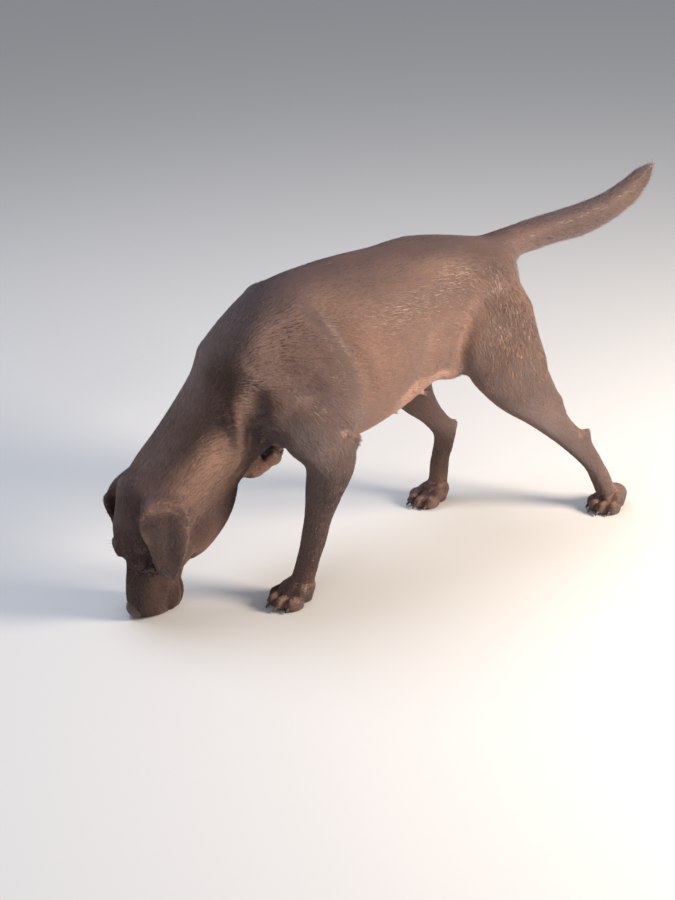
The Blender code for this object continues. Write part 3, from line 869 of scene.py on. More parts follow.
class Sculpt:
    """Points and normals of a mesh, to be pushed about and put back."""

    def __init__(self, mesh, frame_of, snap=False):
        self.mesh = mesh
        self.snap = snap
        self.frame_of = frame_of
        self.points = into(frame_of, points_of(mesh))
        turn = np.array(frame_of.inverted())[:3, :3]
        self.normals = normals_of(mesh) @ (turn / np.linalg.norm(turn[0])).T

    def stroke(self, line, width, height, taper=0.25, mirror=True):
        """Raises a soft ridge, or cuts a furrow, that fades at both its ends."""
        for side in ((LEFT, RIGHT) if mirror else (RIGHT,)):
            path = smooth_rows(np.array(line, float) * (1, side, 1), PATH_STEPS)
            if self.snap:
                path = np.array([self.nearest(spot) for spot in path])
            reach = path.max(0) + 3 * width, path.min(0) - 3 * width
            near = np.where(((self.points < reach[0]) & (self.points > reach[1])).all(1))[0]
            distance, along = line_distance(self.points[near], path)
            lift = height * np.exp(-(distance / width) ** 2)
            lift *= soft_step(along, -0.02, taper) * soft_step(along, 1.02, 1 - taper)
            self.points[near] += self.normals[near] * lift[:, None]

    def dab(self, spot, radius, height, mirror=True):
        """Raises or sinks one round patch."""
        for side in ((LEFT, RIGHT) if mirror else (RIGHT,)):
            distance = np.linalg.norm(self.points - np.array(spot) * (1, side, 1), axis=1)
            near = np.where(distance < 2.5 * radius)[0]
            lift = height * np.exp(-(distance[near] / radius) ** 2)
            self.points[near] += self.normals[near] * lift[:, None]

    def nearest(self, spot):
        """The point that lies nearest to a wanted place."""
        return self.points[np.argmin(np.linalg.norm(self.points - np.array(spot), axis=1))]

    def done(self):
        matrix = np.array(self.frame_of)
        put_points(self.mesh, self.points @ matrix[:3, :3].T + matrix[:3, 3])


print("stroke tools ready")

# %% [markdown]
# ### Muscles and folds of the body
# The rear edge of the shoulder blade and upper arm, the furrow of the throat, the edge
# of the rib cage, the flank fold, the hollow above the hock and the groove between the
# thigh's muscles all show through so short a coat.  More lumps of clay would give round
# swellings only; strokes also give the hollows between them.

# %% Strokes of the shoulder and neck
def sculpt_forehand(clay):
    # shoulder blade: its raised rear edge, and the hollow of the ribs behind it
    clay.stroke([(0.020, 0.045, 0.512), (0.032, 0.060, 0.502), (0.045, 0.080, 0.484),
                 (0.064, 0.099, 0.446), (0.088, 0.108, 0.398), (0.108, 0.110, 0.346)],
                0.015, 0.0056)
    clay.stroke([(0.058, 0.055, 0.510), (0.072, 0.082, 0.486), (0.096, 0.106, 0.440),
                 (0.122, 0.112, 0.388), (0.136, 0.108, 0.335)], 0.020, -0.0076)
    clay.stroke([(-0.004, 0.062, 0.478), (-0.012, 0.086, 0.440), (-0.006, 0.100, 0.402)],
                0.019, -0.0055)
    # upper arm: the long muscle above the elbow, its lower crease and the arm in front
    clay.stroke([(0.030, 0.106, 0.418), (0.070, 0.112, 0.380), (0.095, 0.114, 0.335),
                 (0.100, 0.116, 0.300)], 0.017, 0.0072)
    clay.stroke([(0.030, 0.120, 0.368), (0.058, 0.125, 0.338), (0.074, 0.130, 0.300)],
                0.011, -0.0058)
    clay.stroke([(-0.012, 0.112, 0.372), (0.022, 0.127, 0.335), (0.036, 0.130, 0.290)],
                0.021, 0.0046)
    clay.dab((0.098, 0.118, 0.288), 0.013, 0.0065)
    clay.stroke([(0.070, 0.128, 0.318), (0.092, 0.126, 0.306), (0.112, 0.112, 0.296)],
                0.0065, -0.0040)
    clay.stroke([(0.082, 0.125, 0.272), (0.068, 0.128, 0.235), (0.062, 0.122, 0.200)],
                0.009, -0.0030)
    # neck: the band from the skull to the upper arm, and the pit before the shoulder
    clay.stroke([(-0.080, 0.056, 0.424), (-0.060, 0.074, 0.420), (-0.025, 0.100, 0.390)],
                0.013, 0.0036, taper=0.45)
    clay.stroke([(-0.062, 0.082, 0.400), (-0.050, 0.090, 0.360)], 0.020, -0.0050)
    clay.stroke([(-0.046, 0.092, 0.340), (-0.040, 0.088, 0.305), (-0.034, 0.078, 0.255)],
                0.023, -0.0190, taper=0.45)


print("shoulder strokes ready")

# %% Strokes of the trunk and haunch
def sculpt_rear(clay):
    # ribs, flank and belly
    clay.stroke([(0.168, 0.100, 0.470), (0.188, 0.113, 0.420), (0.206, 0.112, 0.368),
                 (0.198, 0.100, 0.322)], 0.022, 0.0036)
    clay.stroke([(0.262, 0.106, 0.440), (0.262, 0.108, 0.400), (0.236, 0.104, 0.345),
                 (0.200, 0.090, 0.305)], 0.024, -0.0055)
    clay.stroke([(0.285, 0.094, 0.352), (0.262, 0.098, 0.342), (0.236, 0.098, 0.330)],
                0.008, 0.0034)
    clay.stroke([(0.300, 0.098, 0.400), (0.316, 0.100, 0.362), (0.326, 0.094, 0.318)],
                0.014, 0.0042)
    # haunch: hip bone, the groove behind the thigh's front muscle, hamstring, hock
    clay.dab((0.330, 0.078, 0.520), 0.022, 0.0036)
    clay.stroke([(0.345, 0.104, 0.465), (0.385, 0.112, 0.430), (0.412, 0.118, 0.380)],
                0.019, -0.0034)
    clay.stroke([(0.452, 0.096, 0.440), (0.468, 0.112, 0.375), (0.488, 0.118, 0.300)],
                0.018, 0.0034)
    clay.stroke([(0.300, 0.110, 0.340), (0.330, 0.122, 0.312), (0.372, 0.126, 0.286)],
                0.019, 0.0032)
    # under the tail
    clay.dab((0.502, 0, 0.452), 0.0075, -0.0050, mirror=False)
    clay.dab((0.500, 0, 0.405), 0.0120, 0.0050, mirror=False)
    clay.stroke([(0.512, 0, 0.416), (0.510, 0, 0.402), (0.502, 0, 0.392)], 0.0040, -0.0050,
                mirror=False)
    # spine
    clay.stroke([(0.050, 0, 0.532), (0.200, 0, 0.543), (0.340, 0, 0.540), (0.440, 0, 0.522)],
                0.012, -0.0024, mirror=False)


body_strokes = Sculpt(skin.data, WORLD)
sculpt_forehand(body_strokes)
sculpt_rear(body_strokes)
body_strokes.done()
print("body sculpted")

# %% [markdown]
# In this step some folds show on one side only: the band of skin from the throat to the
# left shoulder and the furrow beside it, the tendon above the left hock with the groove
# in front of it, and the groove above the right hock.  After them the line of the withers
# and of the neck is evened, where strokes from both sides had met in a notch.

# %% One-sided strokes and the crest
CREST_SPOTS = ((0.031, 0.050, 0.509), (-0.031, 0.050, 0.509), (-0.071, 0.050, 0.433))
CREST_ROUNDS = 30


def sculpt_one_side(mesh):
    left = Sculpt(mesh, WORLD)
    left.stroke([(-0.092, -0.058, 0.385), (-0.084, -0.064, 0.340), (-0.074, -0.050, 0.280),
                 (-0.080, -0.022, 0.225)], 0.011, 0.0060, mirror=False)
    left.stroke([(-0.062, -0.064, 0.322), (-0.062, -0.050, 0.288), (-0.068, -0.040, 0.262),
                 (-0.082, -0.022, 0.228)], 0.007, -0.0065, mirror=False)
    left.stroke([(-0.050, -0.060, 0.315), (-0.052, -0.044, 0.272), (-0.062, -0.018, 0.230)],
                0.009, 0.0042, mirror=False)
    left.stroke([(0.544, -0.122, 0.215), (0.566, -0.120, 0.180), (0.580, -0.118, 0.150)],
                0.007, -0.0038, mirror=False)
    left.stroke([(0.515, -0.118, 0.255), (0.560, -0.115, 0.210), (0.600, -0.110, 0.165)],
                0.007, 0.0030, mirror=False)
    left.stroke([(0.396, 0.100, 0.215), (0.420, 0.101, 0.180), (0.436, 0.099, 0.145)],
                0.007, -0.0034, mirror=False)
    left.done()


def even_crest(mesh):
    """Evens the line of the withers and of the neck before them."""
    points = points_of(mesh)
    folded = from_withers(points)
    folded[:, 1] = np.abs(folded[:, 1])
    crest = np.min([distance_to(folded, spot) for spot in CREST_SPOTS], axis=0)
    weight = 0.5 * soft_step(crest, 0.055, 0.025)
    put_points(mesh, relax(points, edges_of(mesh), weight, CREST_ROUNDS))


sculpt_one_side(skin.data)
even_crest(skin.data)
print("neck and hocks sculpted")

# %% [markdown]
# ### Teats
# The bare belly between the flank folds shows the last of her teats.  They are hardly
# larger than the faces there, so the skin is split twice round each before it is raised.

# %% Teats
TEATS = [Vector((x, side * y, z)) for side in (LEFT, RIGHT) for x, y, z in (
    (0.274, 0.058, 0.302), (0.228, 0.050, 0.275), (0.182, 0.036, 0.252))]


def settle(mesh, spots):
    """The points of the skin that lie nearest to some wanted places."""
    points = points_of(mesh)
    return [points[np.argmin(distance_to(points, spot))] for spot in spots]


def sculpt_teats(mesh):
    nearest = settle(mesh, [WORLD @ spot for spot in TEATS])
    for reach in (0.016, 0.010):
        points = points_of(mesh)
        refine(mesh, np.min([distance_to(points, spot) for spot in nearest], axis=0) < reach)
    clay = Sculpt(mesh, LEVEL)
    for spot in nearest:
        clay.dab(spot, 0.0080, 0.0020, mirror=False)
        clay.dab(spot, 0.0040, 0.0066, mirror=False)
    clay.done()
    return nearest


TEAT_SPOTS = sculpt_teats(skin.data)
print("teats:", len(TEAT_SPOTS))

# %% [markdown]
# ### Toes and pads
# Furrows part the four toes and run up over the knuckles.  The heel is hollowed behind,
# and each toe rises a little where its claw comes out.  The lifted paw shows its pads;
# the others stand on theirs.  Toes could be kept apart in the clay, but the remesh would
# join them wherever they touch, while a furrow stays where it is put.

# %% Toes and pads
FURROWS = (-0.0190, 0.0, 0.0190)


def sculpt_paws(mesh):
    for (end, side), place in PAW_FRAME.items():
        clay = Sculpt(mesh, place)
        for across in FURROWS:
            clay.stroke([(-0.056, across * 0.95, 0.006), (-0.044, across, 0.022),
                         (-0.022, across * 0.95, 0.038), (0.0, across * 0.8, 0.048)],
                        0.0032, -0.0026, mirror=False, taper=0.2)
        clay.dab((0.044, 0, 0.016), 0.0170, -0.0075, mirror=False)
        clay.dab((0.030, 0.026, 0.022), 0.0130, -0.0030, mirror=False)
        clay.dab((0.030, -0.026, 0.022), 0.0130, -0.0030, mirror=False)
        for along, across, half in TOES:
            clay.dab((along - half + 0.010, across, 0.0215), 0.0062, 0.0012, mirror=False)
            clay.dab((along - half + 0.004, across, 0.0145), 0.0035, 0.0010, mirror=False)
        if (end, side) == ("fore", RIGHT):
            clay.dab((0.012, 0, -0.002), 0.0120, 0.0034, mirror=False)
            for along, across, half in TOES:
                clay.dab((along + 0.001, across, 0.001), 0.0062, 0.0028, mirror=False)
        clay.done()


sculpt_paws(skin.data)
print("furrows on each paw:", len(FURROWS))

# %% [markdown]
# ### Face and ears
# A furrow runs up the forehead from the stop, the brows stand over the eyes, the cheek
# bone runs back under them, and the upper lip hangs over the lower one in a soft fold.
# Each ear is hollow along its middle, with a thick fold at its root and a firm rim.  These
# strokes are so narrow that they would miss the skin if it lay a little beside them, so
# they are snapped to its nearest points.

# %% Face strokes
PIT_ROWS, PITS_IN_ROW, PIT_GAP = 4, 6, 0.0085


def whisker_pit(row, number, side=RIGHT):
    """Where one whisker of the upper lip stands, told in the head's frame."""
    return -0.086 + PIT_GAP * number, side * 0.034, -0.004 - PIT_GAP * row - 0.0012 * number


def sculpt_face(clay):
    # stop, forehead, brow, inner corner of the eye, cheek bone, muzzle and cheek
    clay.dab((-0.014, 0, 0.036), 0.0140, -0.0028, mirror=False)
    clay.stroke([(-0.016, 0, 0.038), (0.014, 0, 0.054), (0.050, 0, 0.061)], 0.009, -0.0024,
                mirror=False)
    clay.stroke([(0.004, 0.013, 0.050), (0.012, 0.026, 0.048), (0.020, 0.042, 0.036)], 0.010,
                0.0036)
    clay.stroke([(-0.008, 0.016, 0.036), (-0.009, 0.030, 0.031)], 0.007, -0.0020)
    clay.stroke([(-0.004, 0.044, 0.006), (0.018, 0.053, 0.000), (0.060, 0.063, -0.004)], 0.010,
                0.0026)
    clay.stroke([(-0.016, 0.036, 0.002), (-0.036, 0.036, -0.004), (-0.060, 0.034, -0.008)],
                0.010, -0.0014)
    clay.stroke([(0.000, 0.044, -0.014), (0.024, 0.058, -0.030), (0.050, 0.062, -0.042)], 0.012,
                -0.0018)
    # lips: the slit of the mouth, the rounded edge of the flew and the fold at its corner
    clay.stroke([(-0.095, 0.008, -0.034), (-0.086, 0.026, -0.044), (-0.060, 0.036, -0.054),
                 (-0.030, 0.041, -0.052), (0.000, 0.045, -0.040)], 0.0022, -0.0040, taper=0.12)
    clay.stroke([(-0.090, 0.020, -0.036), (-0.062, 0.037, -0.046), (-0.030, 0.042, -0.044),
                 (-0.004, 0.046, -0.033)], 0.0050, 0.0016)
    clay.stroke([(-0.004, 0.046, -0.026), (0.008, 0.050, -0.036), (0.006, 0.049, -0.050)],
                0.0030, -0.0018)
    clay.stroke([(-0.1005, 0, -0.006), (-0.1000, 0, -0.020), (-0.094, 0, -0.033)], 0.0013,
                -0.0022, mirror=False, taper=0.2)
    for row in range(PIT_ROWS):
        for number in range(PITS_IN_ROW):
            clay.dab(clay.nearest(whisker_pit(row, number)), 0.0012, -0.0007)


print("whisker pits on each side:", PIT_ROWS * PITS_IN_ROW)

# %% Ear strokes
def sculpt_ears(clay):
    # the hollow of the flap, its two rims, and the fold at its root with the dip behind
    clay.stroke([(0.110, 0.070, 0.018), (0.054, 0.0727, 0.012), (0.008, 0.072, 0.002)], 0.013,
                -0.0030)
    clay.stroke([(0.092, 0.058, 0.064), (0.080, 0.061, 0.0625), (0.026, 0.065, 0.0335),
                 (0.005, 0.067, 0.0210), (-0.013, 0.072, -0.004)], 0.0045, 0.0014, taper=0.08)
    clay.stroke([(0.100, 0.082, -0.018), (0.070, 0.081, -0.0205), (0.038, 0.079, -0.0190),
                 (0.014, 0.076, -0.0160), (-0.013, 0.072, -0.007)], 0.0045, 0.0014, taper=0.08)
    clay.stroke([(0.100, 0.058, 0.060), (0.120, 0.060, 0.040), (0.126, 0.066, 0.010),
                 (0.112, 0.078, -0.016)], 0.0085, 0.0034)
    clay.stroke([(0.108, 0.064, 0.050), (0.112, 0.070, 0.020), (0.100, 0.080, -0.008)],
                0.0050, -0.0022)
    clay.dab((0.082, 0.082, -0.021), 0.0055, -0.0026)
    clay.stroke([(0.086, 0.052, 0.064), (0.045, 0.058, 0.048), (0.012, 0.055, 0.034)], 0.008,
                -0.0032)


head_strokes = Sculpt(skin.data, HEAD, snap=True)
sculpt_face(head_strokes)
sculpt_ears(head_strokes)
head_strokes.done()
print("face and ears sculpted")

# %% [markdown]
# ### Eyelids
# The lids ride on the eyeball.  Rims laid round the eye would show a seam, so the lids
# are made from the skin itself.  Seen from the eye's centre, skin inside the almond
# opening is drawn back behind the ball; skin just outside it is held a lid's thickness
# clear of the ball; farther out it runs back into the face.

# %% The eye's opening
EYE_RADIUS = 0.0118
OPEN_WIDE = math.radians(47)
OPEN_UP = math.radians(22)
OPEN_DOWN = math.radians(19)
SLANT = 0.10
ALMOND = 1.8


def eye_axes(side):
    """Where the eye looks, its outer corner and its upper lid, told in the head's frame."""
    look = Vector((-0.80, side * 0.56, 0.16)).normalized()
    outward = Vector((0.60, side * 0.78, 0.06))
    outward = (outward - look * outward.dot(look)).normalized()
    up = look.cross(outward) * side
    return look, outward, up


def almond_gap(rays, side):
    """Degrees from the rim of the almond opening, less than 0 inside it."""
    look, outward, up = (np.array(axis) for axis in eye_axes(side))
    across = np.arctan2(rays @ outward, rays @ look)
    rise = np.arcsin(np.clip(rays @ up, -1, 1)) + SLANT * across
    along = np.clip(np.abs(across) / OPEN_WIDE, 0, 1)
    arch = np.sqrt(1 - along ** ALMOND)
    gap = np.where(rise > 0, rise - OPEN_UP * arch, -rise - OPEN_DOWN * arch)
    beyond = np.abs(across) - OPEN_WIDE
    return np.degrees(np.where(beyond > 0, np.hypot(beyond, rise), gap))


print("the opening is", round(2 * math.degrees(OPEN_WIDE)), "degrees wide")

# %% Eyelids
LID = 0.0011
CREASE = 0.0005


def open_eyes(mesh):
    clay = Sculpt(mesh, HEAD)
    for side in (LEFT, RIGHT):
        centre = np.array(EYE_SEAT[side])
        ray = clay.points - centre
        length = np.linalg.norm(ray, axis=1)
        near = np.where((length < 0.030) & (ray @ np.array(eye_axes(side)[0]) > -0.004))[0]
        ray, length = ray[near], length[near]
        ray /= length[:, None]
        gap = almond_gap(ray, side)
        held = EYE_RADIUS + LID * (1 + 0.5 * soft_step(gap, 2, 9))
        held -= CREASE * np.exp(-((gap - 15) / 4) ** 2)
        well = 0.70 * EYE_RADIUS
        lid = well + (held - well) * soft_step(gap, -2.0, 1.6)
        free = np.maximum(soft_step(gap, 11, 42), soft_step(length, 0.0165, 0.0225))
        target = lid * (1 - free) + length * free
        cover = soft_step(gap, 0.5, 2.5)
        target = np.where(target < held, target * (1 - cover) + held * cover, target)
        clay.points[near] = centre + ray * target[:, None]
    clay.done()


open_eyes(skin.data)
print("eyes opened")

# %% [markdown]
# ### Standing
# Pads and lips give way where they rest.  A straight cut would leave a sharp edge, so
# what would lie below the floor is pressed flat on it, and the last few millimetres above
# it are squeezed to meet it smoothly.

# %% Standing on the floor
SOLE_GIVE = 0.003


def stand(mesh):
    """Presses soles and lips flat where they rest on the floor."""
    points = points_of(mesh)
    low = points[:, 2].min()
    pressed = SOLE_GIVE * np.exp(np.minimum(points[:, 2] / SOLE_GIVE - 1, 0))
    points[:, 2] = np.where(points[:, 2] < SOLE_GIVE, pressed, points[:, 2])
    put_points(mesh, points)
    return low


print("the lowest point was at", round(stand(skin.data), 4))

# %% [markdown]
# ## Eyeballs
# Each eye is a ball with a slightly raised clear front.  The iris could be modelled as a
# ring behind a glass front, but at this size the difference can't be seen.  So colour is
# worked out from the angle to the direction of sight: black pupil, amber-brown iris with
# fine rays, a dark ring, and a brownish white that only shows at the corners.

# %% Eye material
IRIS_REACH = 0.74
PUPIL_REACH = 0.34
RING_WIDTH = 0.10
PUPIL_EDGE = 0.03
PUPIL_BLACK = (0.002, 0.002, 0.002, 1)
IRIS_DARK, IRIS_LIGHT = (0.030, 0.013, 0.006, 1), (0.080, 0.037, 0.013, 1)
RING_BROWN = (0.018, 0.008, 0.004, 1)
EYE_WHITE = (0.055, 0.032, 0.026, 1)


def eye_material(side, look):
    made, tree, shader = surface("eye_" + SIDE_NAME[side] + "_wet", Roughness=0.12,
                                 Coat_Weight=0.25, Coat_Roughness=0.02, IOR=1.34,
                                 Specular_IOR_Level=0.25)
    place = add(tree, "ShaderNodeNewGeometry")
    ray = add(tree, "ShaderNodeVectorMath", {"operation": "SUBTRACT"},
              {0: place, 1: tuple(EYES[side])})
    ray = add(tree, "ShaderNodeVectorMath", {"operation": "NORMALIZE"}, {0: ray})
    facing = add(tree, "ShaderNodeVectorMath", {"operation": "DOT_PRODUCT"},
                 {0: ray, 1: tuple(look)}, output=1)
    angle = facing.maths("ARCCOSINE", facing)
    rays = add(tree, "ShaderNodeTexNoise", {}, {"Vector": ray, "Scale": 16.0, "Detail": 4.0})
    inner = 1 - angle.between(PUPIL_REACH, IRIS_REACH)
    iris = (rays + inner * 0.25).between(0.35, 0.75).mix(IRIS_DARK, IRIS_LIGHT)
    ring = angle.between(IRIS_REACH - RING_WIDTH, IRIS_REACH).mix(iris, RING_BROWN)
    white = angle.between(IRIS_REACH, IRIS_REACH + RING_WIDTH).mix(ring, EYE_WHITE)
    pupil = angle.between(PUPIL_REACH - PUPIL_EDGE, PUPIL_REACH + PUPIL_EDGE)
    wire(shader, Base_Color=pupil.mix(PUPIL_BLACK, white))
    return made


print("iris", round(2 * IRIS_REACH * EYE_RADIUS * 1000, 1), "mm wide")

# %% Eyeballs
CORNEA_RISE = 0.045


def make_eye(side):
    look = (HEAD.to_3x3() @ eye_axes(side)[0]).normalized()
    bm = bmesh.new()
    bmesh.ops.create_icosphere(bm, subdivisions=5, radius=EYE_RADIUS)
    for vert in bm.verts:
        facing = vert.co.normalized().dot(look)
        bulge = float(soft_step(facing, math.cos(IRIS_REACH + RING_WIDTH), 1.0))
        vert.co *= 1 + CORNEA_RISE * bulge
    bmesh.ops.translate(bm, vec=EYES[side], verts=bm.verts)
    eye = mesh_object("eyeball_" + SIDE_NAME[side], bm)
    eye.data.shade_smooth()
    eye.data.materials.append(eye_material(side, look))
    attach(eye, "root")
    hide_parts("eye_" + SIDE_NAME[side])
    return eye


for side in (LEFT, RIGHT):
    print("made", make_eye(side).name)

# %% [markdown]
# ## Nose pad
# A liver-brown pad with a flat front, two comma-shaped nostrils that run out into slits
# at the sides, and a furrow down its middle.  It is a piece of its own, because bare
# leather meets the hair in a sharp line that a blended skin wouldn't have.

# %% Nose
NOSE_CENTRE = (-0.086, 0, 0.011)
NOSE_RADII = (0.0172, 0.0192, 0.0172)


def make_nose():
    bm = bmesh.new()
    place = HEAD @ Matrix.LocRotScale(Vector(NOSE_CENTRE), None, Vector(NOSE_RADII))
    bmesh.ops.create_icosphere(bm, subdivisions=6, radius=1, matrix=place)
    nose = mesh_object("nose_pad", bm)
    clay = Sculpt(nose.data, HEAD, snap=True)
    local = clay.points - np.array(NOSE_CENTRE)
    # wider in front, narrower below, and flat at the tip
    wider = 1 + 0.10 * soft_step(-local[:, 0], 0.002, 0.016)
    narrower = 1 - 0.10 * soft_step(-local[:, 2], 0.0, 0.016)
    clay.points[:, 1] = local[:, 1] * wider * narrower
    clay.points[:, 0] += 0.0022 * soft_step(-local[:, 0], 0.013, 0.0175)
    # the slit of the nostril, its round end, the two wings beside it and the middle furrow
    tip = NOSE_CENTRE[0] - NOSE_RADII[0]
    clay.stroke([(tip, 0.0072, 0.0135), (tip + 0.003, 0.0115, 0.0125),
                 (tip + 0.008, 0.0160, 0.0090), (tip + 0.015, 0.0188, 0.0075)], 0.0020, -0.0046,
                taper=0.3)
    clay.dab((tip + 0.001, 0.0078, 0.0125), 0.0030, -0.0060)
    clay.dab((tip + 0.002, 0.0095, 0.0175), 0.0048, 0.0014)
    clay.dab((tip + 0.003, 0.0125, 0.0070), 0.0044, 0.0013)
    clay.stroke([(tip, 0, 0.022), (tip, 0, 0.010), (tip + 0.004, 0, -0.004)], 0.0011, -0.0016,
                mirror=False, taper=0.2)
    clay.done()
    nose.data.shade_smooth()
    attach(nose, "root")
    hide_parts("nose")
    return nose


nose = make_nose()
print("made", nose.name)

# %% [markdown]
# ## Whiskers and lashes
# Stiff single hairs stand in rows on the upper lip, in a small tuft over each eye and
# along the upper lid.  Curves with a bevel would be rounder than so thin a hair needs:
# each one is a three-sided tube that tapers and bends back.

# %% One stiff hair
FLOOR_CLEAR = 0.0012
LINKS = 6


def bristle(bm, root, way, droop, length, radius):
    """One stiff hair from its root, bending by droop over its length."""
    way, droop = Vector(way).normalized(), Vector(droop)
    beside = way.orthogonal().normalized()
    rings = []
    for k in range(LINKS + 1):
        t = k / LINKS
        spot = Vector(root) + way * (length * t - 0.001) + droop * (length * t * t)
        spot.z = max(spot.z, FLOOR_CLEAR)
        turn = [Matrix.Rotation(2 * math.pi * i / 3, 3, way) @ beside for i in range(3)]
        rings.append([bm.verts.new(spot + edge * radius * (1 - 0.85 * t)) for edge in turn])
    for low, high in zip(rings, rings[1:]):
        for i in range(3):
            j = (i + 1) % 3
            bm.faces.new((low[i], low[j], high[j], high[i]))
    bm.faces.new(rings[0][::-1])
    bm.faces.new(rings[-1])


print("a stiff hair has", LINKS, "links")

# %% Where they stand and point
BROW_HAIRS = 4
LASHES = 13
LASH_LENGTH = 0.0042
LIP_RADIUS, BROW_RADIUS, LASH_RADIUS = 0.00017, 0.00015, 0.00013


def lashes(side):
    """Root, direction, droop, length and radius of each lash of one upper lid."""
    look, outward, up = eye_axes(side)
    for number in range(LASHES):
        across = (2 * number / (LASHES - 1) - 1) * 0.82
        lift = OPEN_UP * math.sqrt(1 - abs(across / 1.05) ** ALMOND) + 0.05 - 0.07 * across
        ray = (look * math.cos(OPEN_WIDE * across) + outward * math.sin(OPEN_WIDE * across)
               + up * math.tan(lift)).normalized()
        way = look + up * 0.5 + outward * 0.3 * across
        yield EYE_SEAT[side] + ray * 0.0128, way, up * 0.4, LASH_LENGTH, LASH_RADIUS


def stiff_hairs(side):
    """The same for the upper lip and the brow, and then the lashes."""
    for row in range(PIT_ROWS):
        for number in range(PITS_IN_ROW):
            yield (whisker_pit(row, number, side),
                   (0.25 + 0.12 * number, side * 0.9, 0.10 - 0.12 * row),
                   (0.30, 0, -0.08), 0.016 + 0.0042 * number, LIP_RADIUS)
    for number in range(BROW_HAIRS):
        yield ((0.010 + 0.003 * number, side * (0.020 + 0.006 * number), 0.047),
               (-0.30, side * 0.35, 0.9), (0.35, 0, 0), 0.020, BROW_RADIUS)
    yield from lashes(side)


print("stiff hairs on each side:", len(list(stiff_hairs(RIGHT))))

# %% Whiskers
WHISKER_BROWN = (0.045, 0.026, 0.020, 1)


def make_whiskers(mesh):
    rng = np.random.default_rng(5)
    turn = HEAD.to_3x3()
    rows = [hair for side in (LEFT, RIGHT) for hair in stiff_hairs(side)]
    spots = settle(mesh, [HEAD @ Vector(row[0]) for row in rows])
    bm = bmesh.new()
    for spot, (_, way, droop, length, radius) in zip(spots, rows):
        way = Vector(way) + Vector(rng.normal(0, 0.10, 3))
        bristle(bm, spot, turn @ way, turn @ Vector(droop), length * rng.uniform(0.8, 1.15),
                radius)
    whiskers = mesh_object("whiskers", bm)
    whiskers.data.shade_smooth()
    paint = surface("whisker_brown", Roughness=0.4, Base_Color=WHISKER_BROWN)[0]
    whiskers.data.materials.append(paint)
    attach(whiskers, "root")
    return whiskers


print("whiskers:", len(make_whiskers(skin.data).data.polygons), "faces")

# %% [markdown]
# ## Claws
# Sixteen short hooks of brown horn, worn blunt on grass and stone.  A bent cone would
# look like a thorn; five oval stations give each its deep root and its hooked tip.  They
# stand where the plain ones stand.

# %% Claws
CLAW_LENGTH = 0.012
CLAW_SUNK = 0.007


def make_claws(end, side):
    place = PAW_FRAME[end, side]
    bm = bmesh.new()
    for along, across, half in TOES:
        root_x = along - half + CLAW_SUNK
        hook = [
            (root_x - CLAW_LENGTH, across * 1.02, 0.0060, 0.0011, 0.0010, 0.0010),
            (root_x - CLAW_LENGTH * 0.85, across * 1.02, 0.0080, 0.0019, 0.0019, 0.0022),
            (root_x - CLAW_LENGTH * 0.5, across * 1.02, 0.0113, 0.0026, 0.0029, 0.0034),
            (root_x - CLAW_LENGTH * 0.15, across, 0.0138, 0.0030, 0.0034, 0.0040),
            (root_x + 0.004, across, 0.0145, 0.0031, 0.0035, 0.0040),
        ]
        loft(bm, hook, frame_of=place, sides=18, squareness=2)
    claws = mesh_object(f"claws_{end}_{SIDE_NAME[side]}", bm)
    claws.data.shade_smooth()
    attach(claws, "root")
    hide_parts(*(f"claw_{end}_{SIDE_NAME[side]}_{number}" for number in range(1, 5)))
    return claws


CLAWS = [make_claws(end, side) for end, side in PAW]
print("claw sets:", len(CLAWS))

# %% [markdown]
# ## The lie of the coat
# Hair runs from the nose back over the skull, down the neck towards the withers, along
# the back to the tail, and down each leg.  It could be combed by hand, but the middle
# lines of the lofts already run that way.  At any point the nearest lines, weighed by
# their girth, say where the hair lies.  On the flanks it also droops a little.

# %% Which way the hair lies
EAR_BONES = dict(zip((LEFT, RIGHT), BONES[-2:]))
FLESH_BONES = BONES[:-2]
FLANK_DROOP = 0.35
LIE_ROUNDS = 60


def pull_of(points, line, girth):
    """How strongly one middle line rules at each point, and the way it runs there."""
    best = np.full(len(points), np.inf)
    way = np.zeros((len(points), 3))
    for i in range(len(line) - 1):
        start, step = line[i], line[i + 1] - line[i]
        t = np.clip((points - start) @ step / (step @ step), 0, 1)
        reach = girth[i] + t * (girth[i + 1] - girth[i])
        ratio = np.linalg.norm(points - start - t[:, None] * step, axis=1) / reach
        closer = ratio < best
        best[closer] = ratio[closer]
        way[closer] = step / np.linalg.norm(step)
    return 1 / np.maximum(best, 0.35) ** 3.5, way


def unit(vectors):
    """The same directions, each one metre long."""
    return vectors / np.maximum(np.linalg.norm(vectors, axis=1), 1e-9)[:, None]


def lie_of(points, normals):
    """The direction of the hair, in the plane of the skin."""
    total = np.zeros((len(points), 3))
    for line, girth in FLESH_BONES:
        pull, way = pull_of(points, line, girth)
        total += pull[:, None] * way
    total = unit(total)
    steep = 1 - normals[:, 2] ** 2
    total[:, 2] -= FLANK_DROOP * steep * soft_step(points[:, 2], 0.22, 0.30)
    for side, bone in EAR_BONES.items():
        flap = on_ear(points, side)[:, None]
        total = total * (1 - flap) + pull_of(points, *bone)[1] * flap
    total -= normals * (total * normals).sum(1)[:, None]
    return unit(total)


def lie_field(mesh):
    """The lie at every point of the skin, blended with its neighbours'."""
    normals = normals_of(mesh)
    lie = lie_of(points_of(mesh), normals)
    lie = relax(lie, edges_of(mesh), np.full(len(lie), 0.6), LIE_ROUNDS)
    return unit(lie - normals * (lie * normals).sum(1)[:, None])


print("middle lines that guide the hair:", len(BONES))

